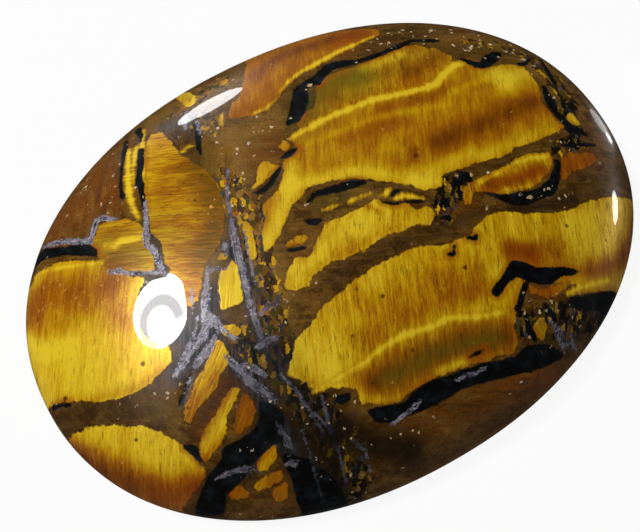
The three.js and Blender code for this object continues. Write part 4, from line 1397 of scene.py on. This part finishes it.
def add_lamp(name, lamp, power_scale):
    turn, tilt = math.radians(lamp.azimuth), math.radians(lamp.height)
    way = Vector((math.cos(turn) * math.cos(tilt), math.sin(turn) * math.cos(tilt), math.sin(tilt)))
    data = bpy.data.lights.new(name, "AREA")
    data.shape = "ELLIPSE"
    data.size = lamp.size[0] * MM
    data.size_y = lamp.size[1] * MM
    area = math.pi / 4 * data.size * data.size_y
    data.energy = lamp.radiance * area * math.pi * power_scale
    holder = bpy.data.objects.new(name, data)
    bpy.context.scene.collection.objects.link(holder)
    holder.location = Vector(lamp.spot) * MM + way * lamp.distance * MM
    holder.rotation_euler = way.to_track_quat("Z", "Y").to_euler()
    holder.visible_camera = False
    return data


def add_camera():
    turn, tilt = math.radians(CAMERA_AZIMUTH), math.radians(CAMERA_HEIGHT_ANGLE)
    back = Vector((math.sin(turn) * math.cos(tilt), -math.cos(turn) * math.cos(tilt), math.sin(tilt)))
    right = Vector((math.cos(turn), math.sin(turn), 0))
    up = back.cross(right)
    data = bpy.data.cameras.new("camera")
    data.lens = CAMERA_LENS
    data.clip_start = 1 * MM
    camera = bpy.data.objects.new("camera", data)
    bpy.context.scene.collection.objects.link(camera)
    pose = Matrix((right, up, back)).transposed().to_4x4()
    pose.translation = Vector(CAMERA_TARGET) + back * CAMERA_DISTANCE
    camera.matrix_world = pose
    bpy.context.scene.camera = camera


def add_table(settings):
    deselect_all()
    bpy.ops.mesh.primitive_plane_add(size=TABLE_SIZE, location=(0, 0, LOW.z - TABLE_GAP))
    table = bpy.context.object
    table.name = "table"
    table.data.materials.append(pale_table(settings))
    table.visible_glossy = False  # the stone mirrors the dim room instead, which keeps its near rim dark


def light_room():
    scene = bpy.context.scene
    scene.view_settings.view_transform = "Standard"
    world = bpy.data.worlds.new("dim_room")
    world.use_nodes = True
    world.node_tree.nodes["Background"].inputs["Color"].default_value = linear("#f2f2f6")
    world.node_tree.nodes["Background"].inputs["Strength"].default_value = 0.02
    scene.world = world


class CABOCHON_OT_stone(bpy.types.Operator):
    """Cut, polish and mark the stone"""
    bl_idname = "cabochon.stone"
    bl_label = "Cut the stone"

    def execute(self, context):
        sizes = context.scene.cabochon_sizes
        stone = model_stone(sizes)
        floats = mark_stone(stone, sizes)
        sink_hollows(stone, floats)
        stone.data.materials.clear()
        stone.data.materials.append(polished_tigers_eye(context.scene.cabochon_colours))
        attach(stone, "root")
        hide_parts(NODE)
        return {"FINISHED"}


class CABOCHON_OT_stage(bpy.types.Operator):
    """Set up the table, the lamps and the camera"""
    bl_idname = "cabochon.stage"
    bl_label = "Set the stage"

    def execute(self, context):
        settings = context.scene.cabochon_stage
        add_camera()
        add_table(settings)
        light_room()
        lights = {name: add_lamp(name, lamp, settings.lamp_power) for name, lamp in LAMPS.items()}
        shade_bulb(lights["round_lamp"])
        return {"FINISHED"}


class CABOCHON_PT_panel(bpy.types.Panel):
    """The cabochon's settings and steps"""
    bl_idname = "CABOCHON_PT_panel"
    bl_label = "Tiger's eye cabochon"
    bl_space_type = "VIEW_3D"
    bl_region_type = "UI"
    bl_category = "Cabochon"

    def draw(self, context):
        scene = context.scene
        for group in (scene.cabochon_sizes, scene.cabochon_colours, scene.cabochon_stage):
            box = self.layout.box()
            for name in group.__annotations__:
                box.prop(group, name)
        self.layout.operator(CABOCHON_OT_stone.bl_idname)
        self.layout.operator(CABOCHON_OT_stage.bl_idname)


CLASSES = (CabochonSizes, CabochonColours, CabochonStage,
           CABOCHON_OT_stone, CABOCHON_OT_stage, CABOCHON_PT_panel)


def register():
    for made in CLASSES:
        bpy.utils.register_class(made)
    bpy.types.Scene.cabochon_sizes = bpy.props.PointerProperty(type=CabochonSizes)
    bpy.types.Scene.cabochon_colours = bpy.props.PointerProperty(type=CabochonColours)
    bpy.types.Scene.cabochon_stage = bpy.props.PointerProperty(type=CabochonStage)


def unregister():
    del bpy.types.Scene.cabochon_stage
    del bpy.types.Scene.cabochon_colours
    del bpy.types.Scene.cabochon_sizes
    for made in reversed(CLASSES):
        bpy.utils.unregister_class(made)


def main():
    register()
    bpy.ops.cabochon.stage()
    bpy.ops.cabochon.stone()


if __name__ == "__main__":
    main()
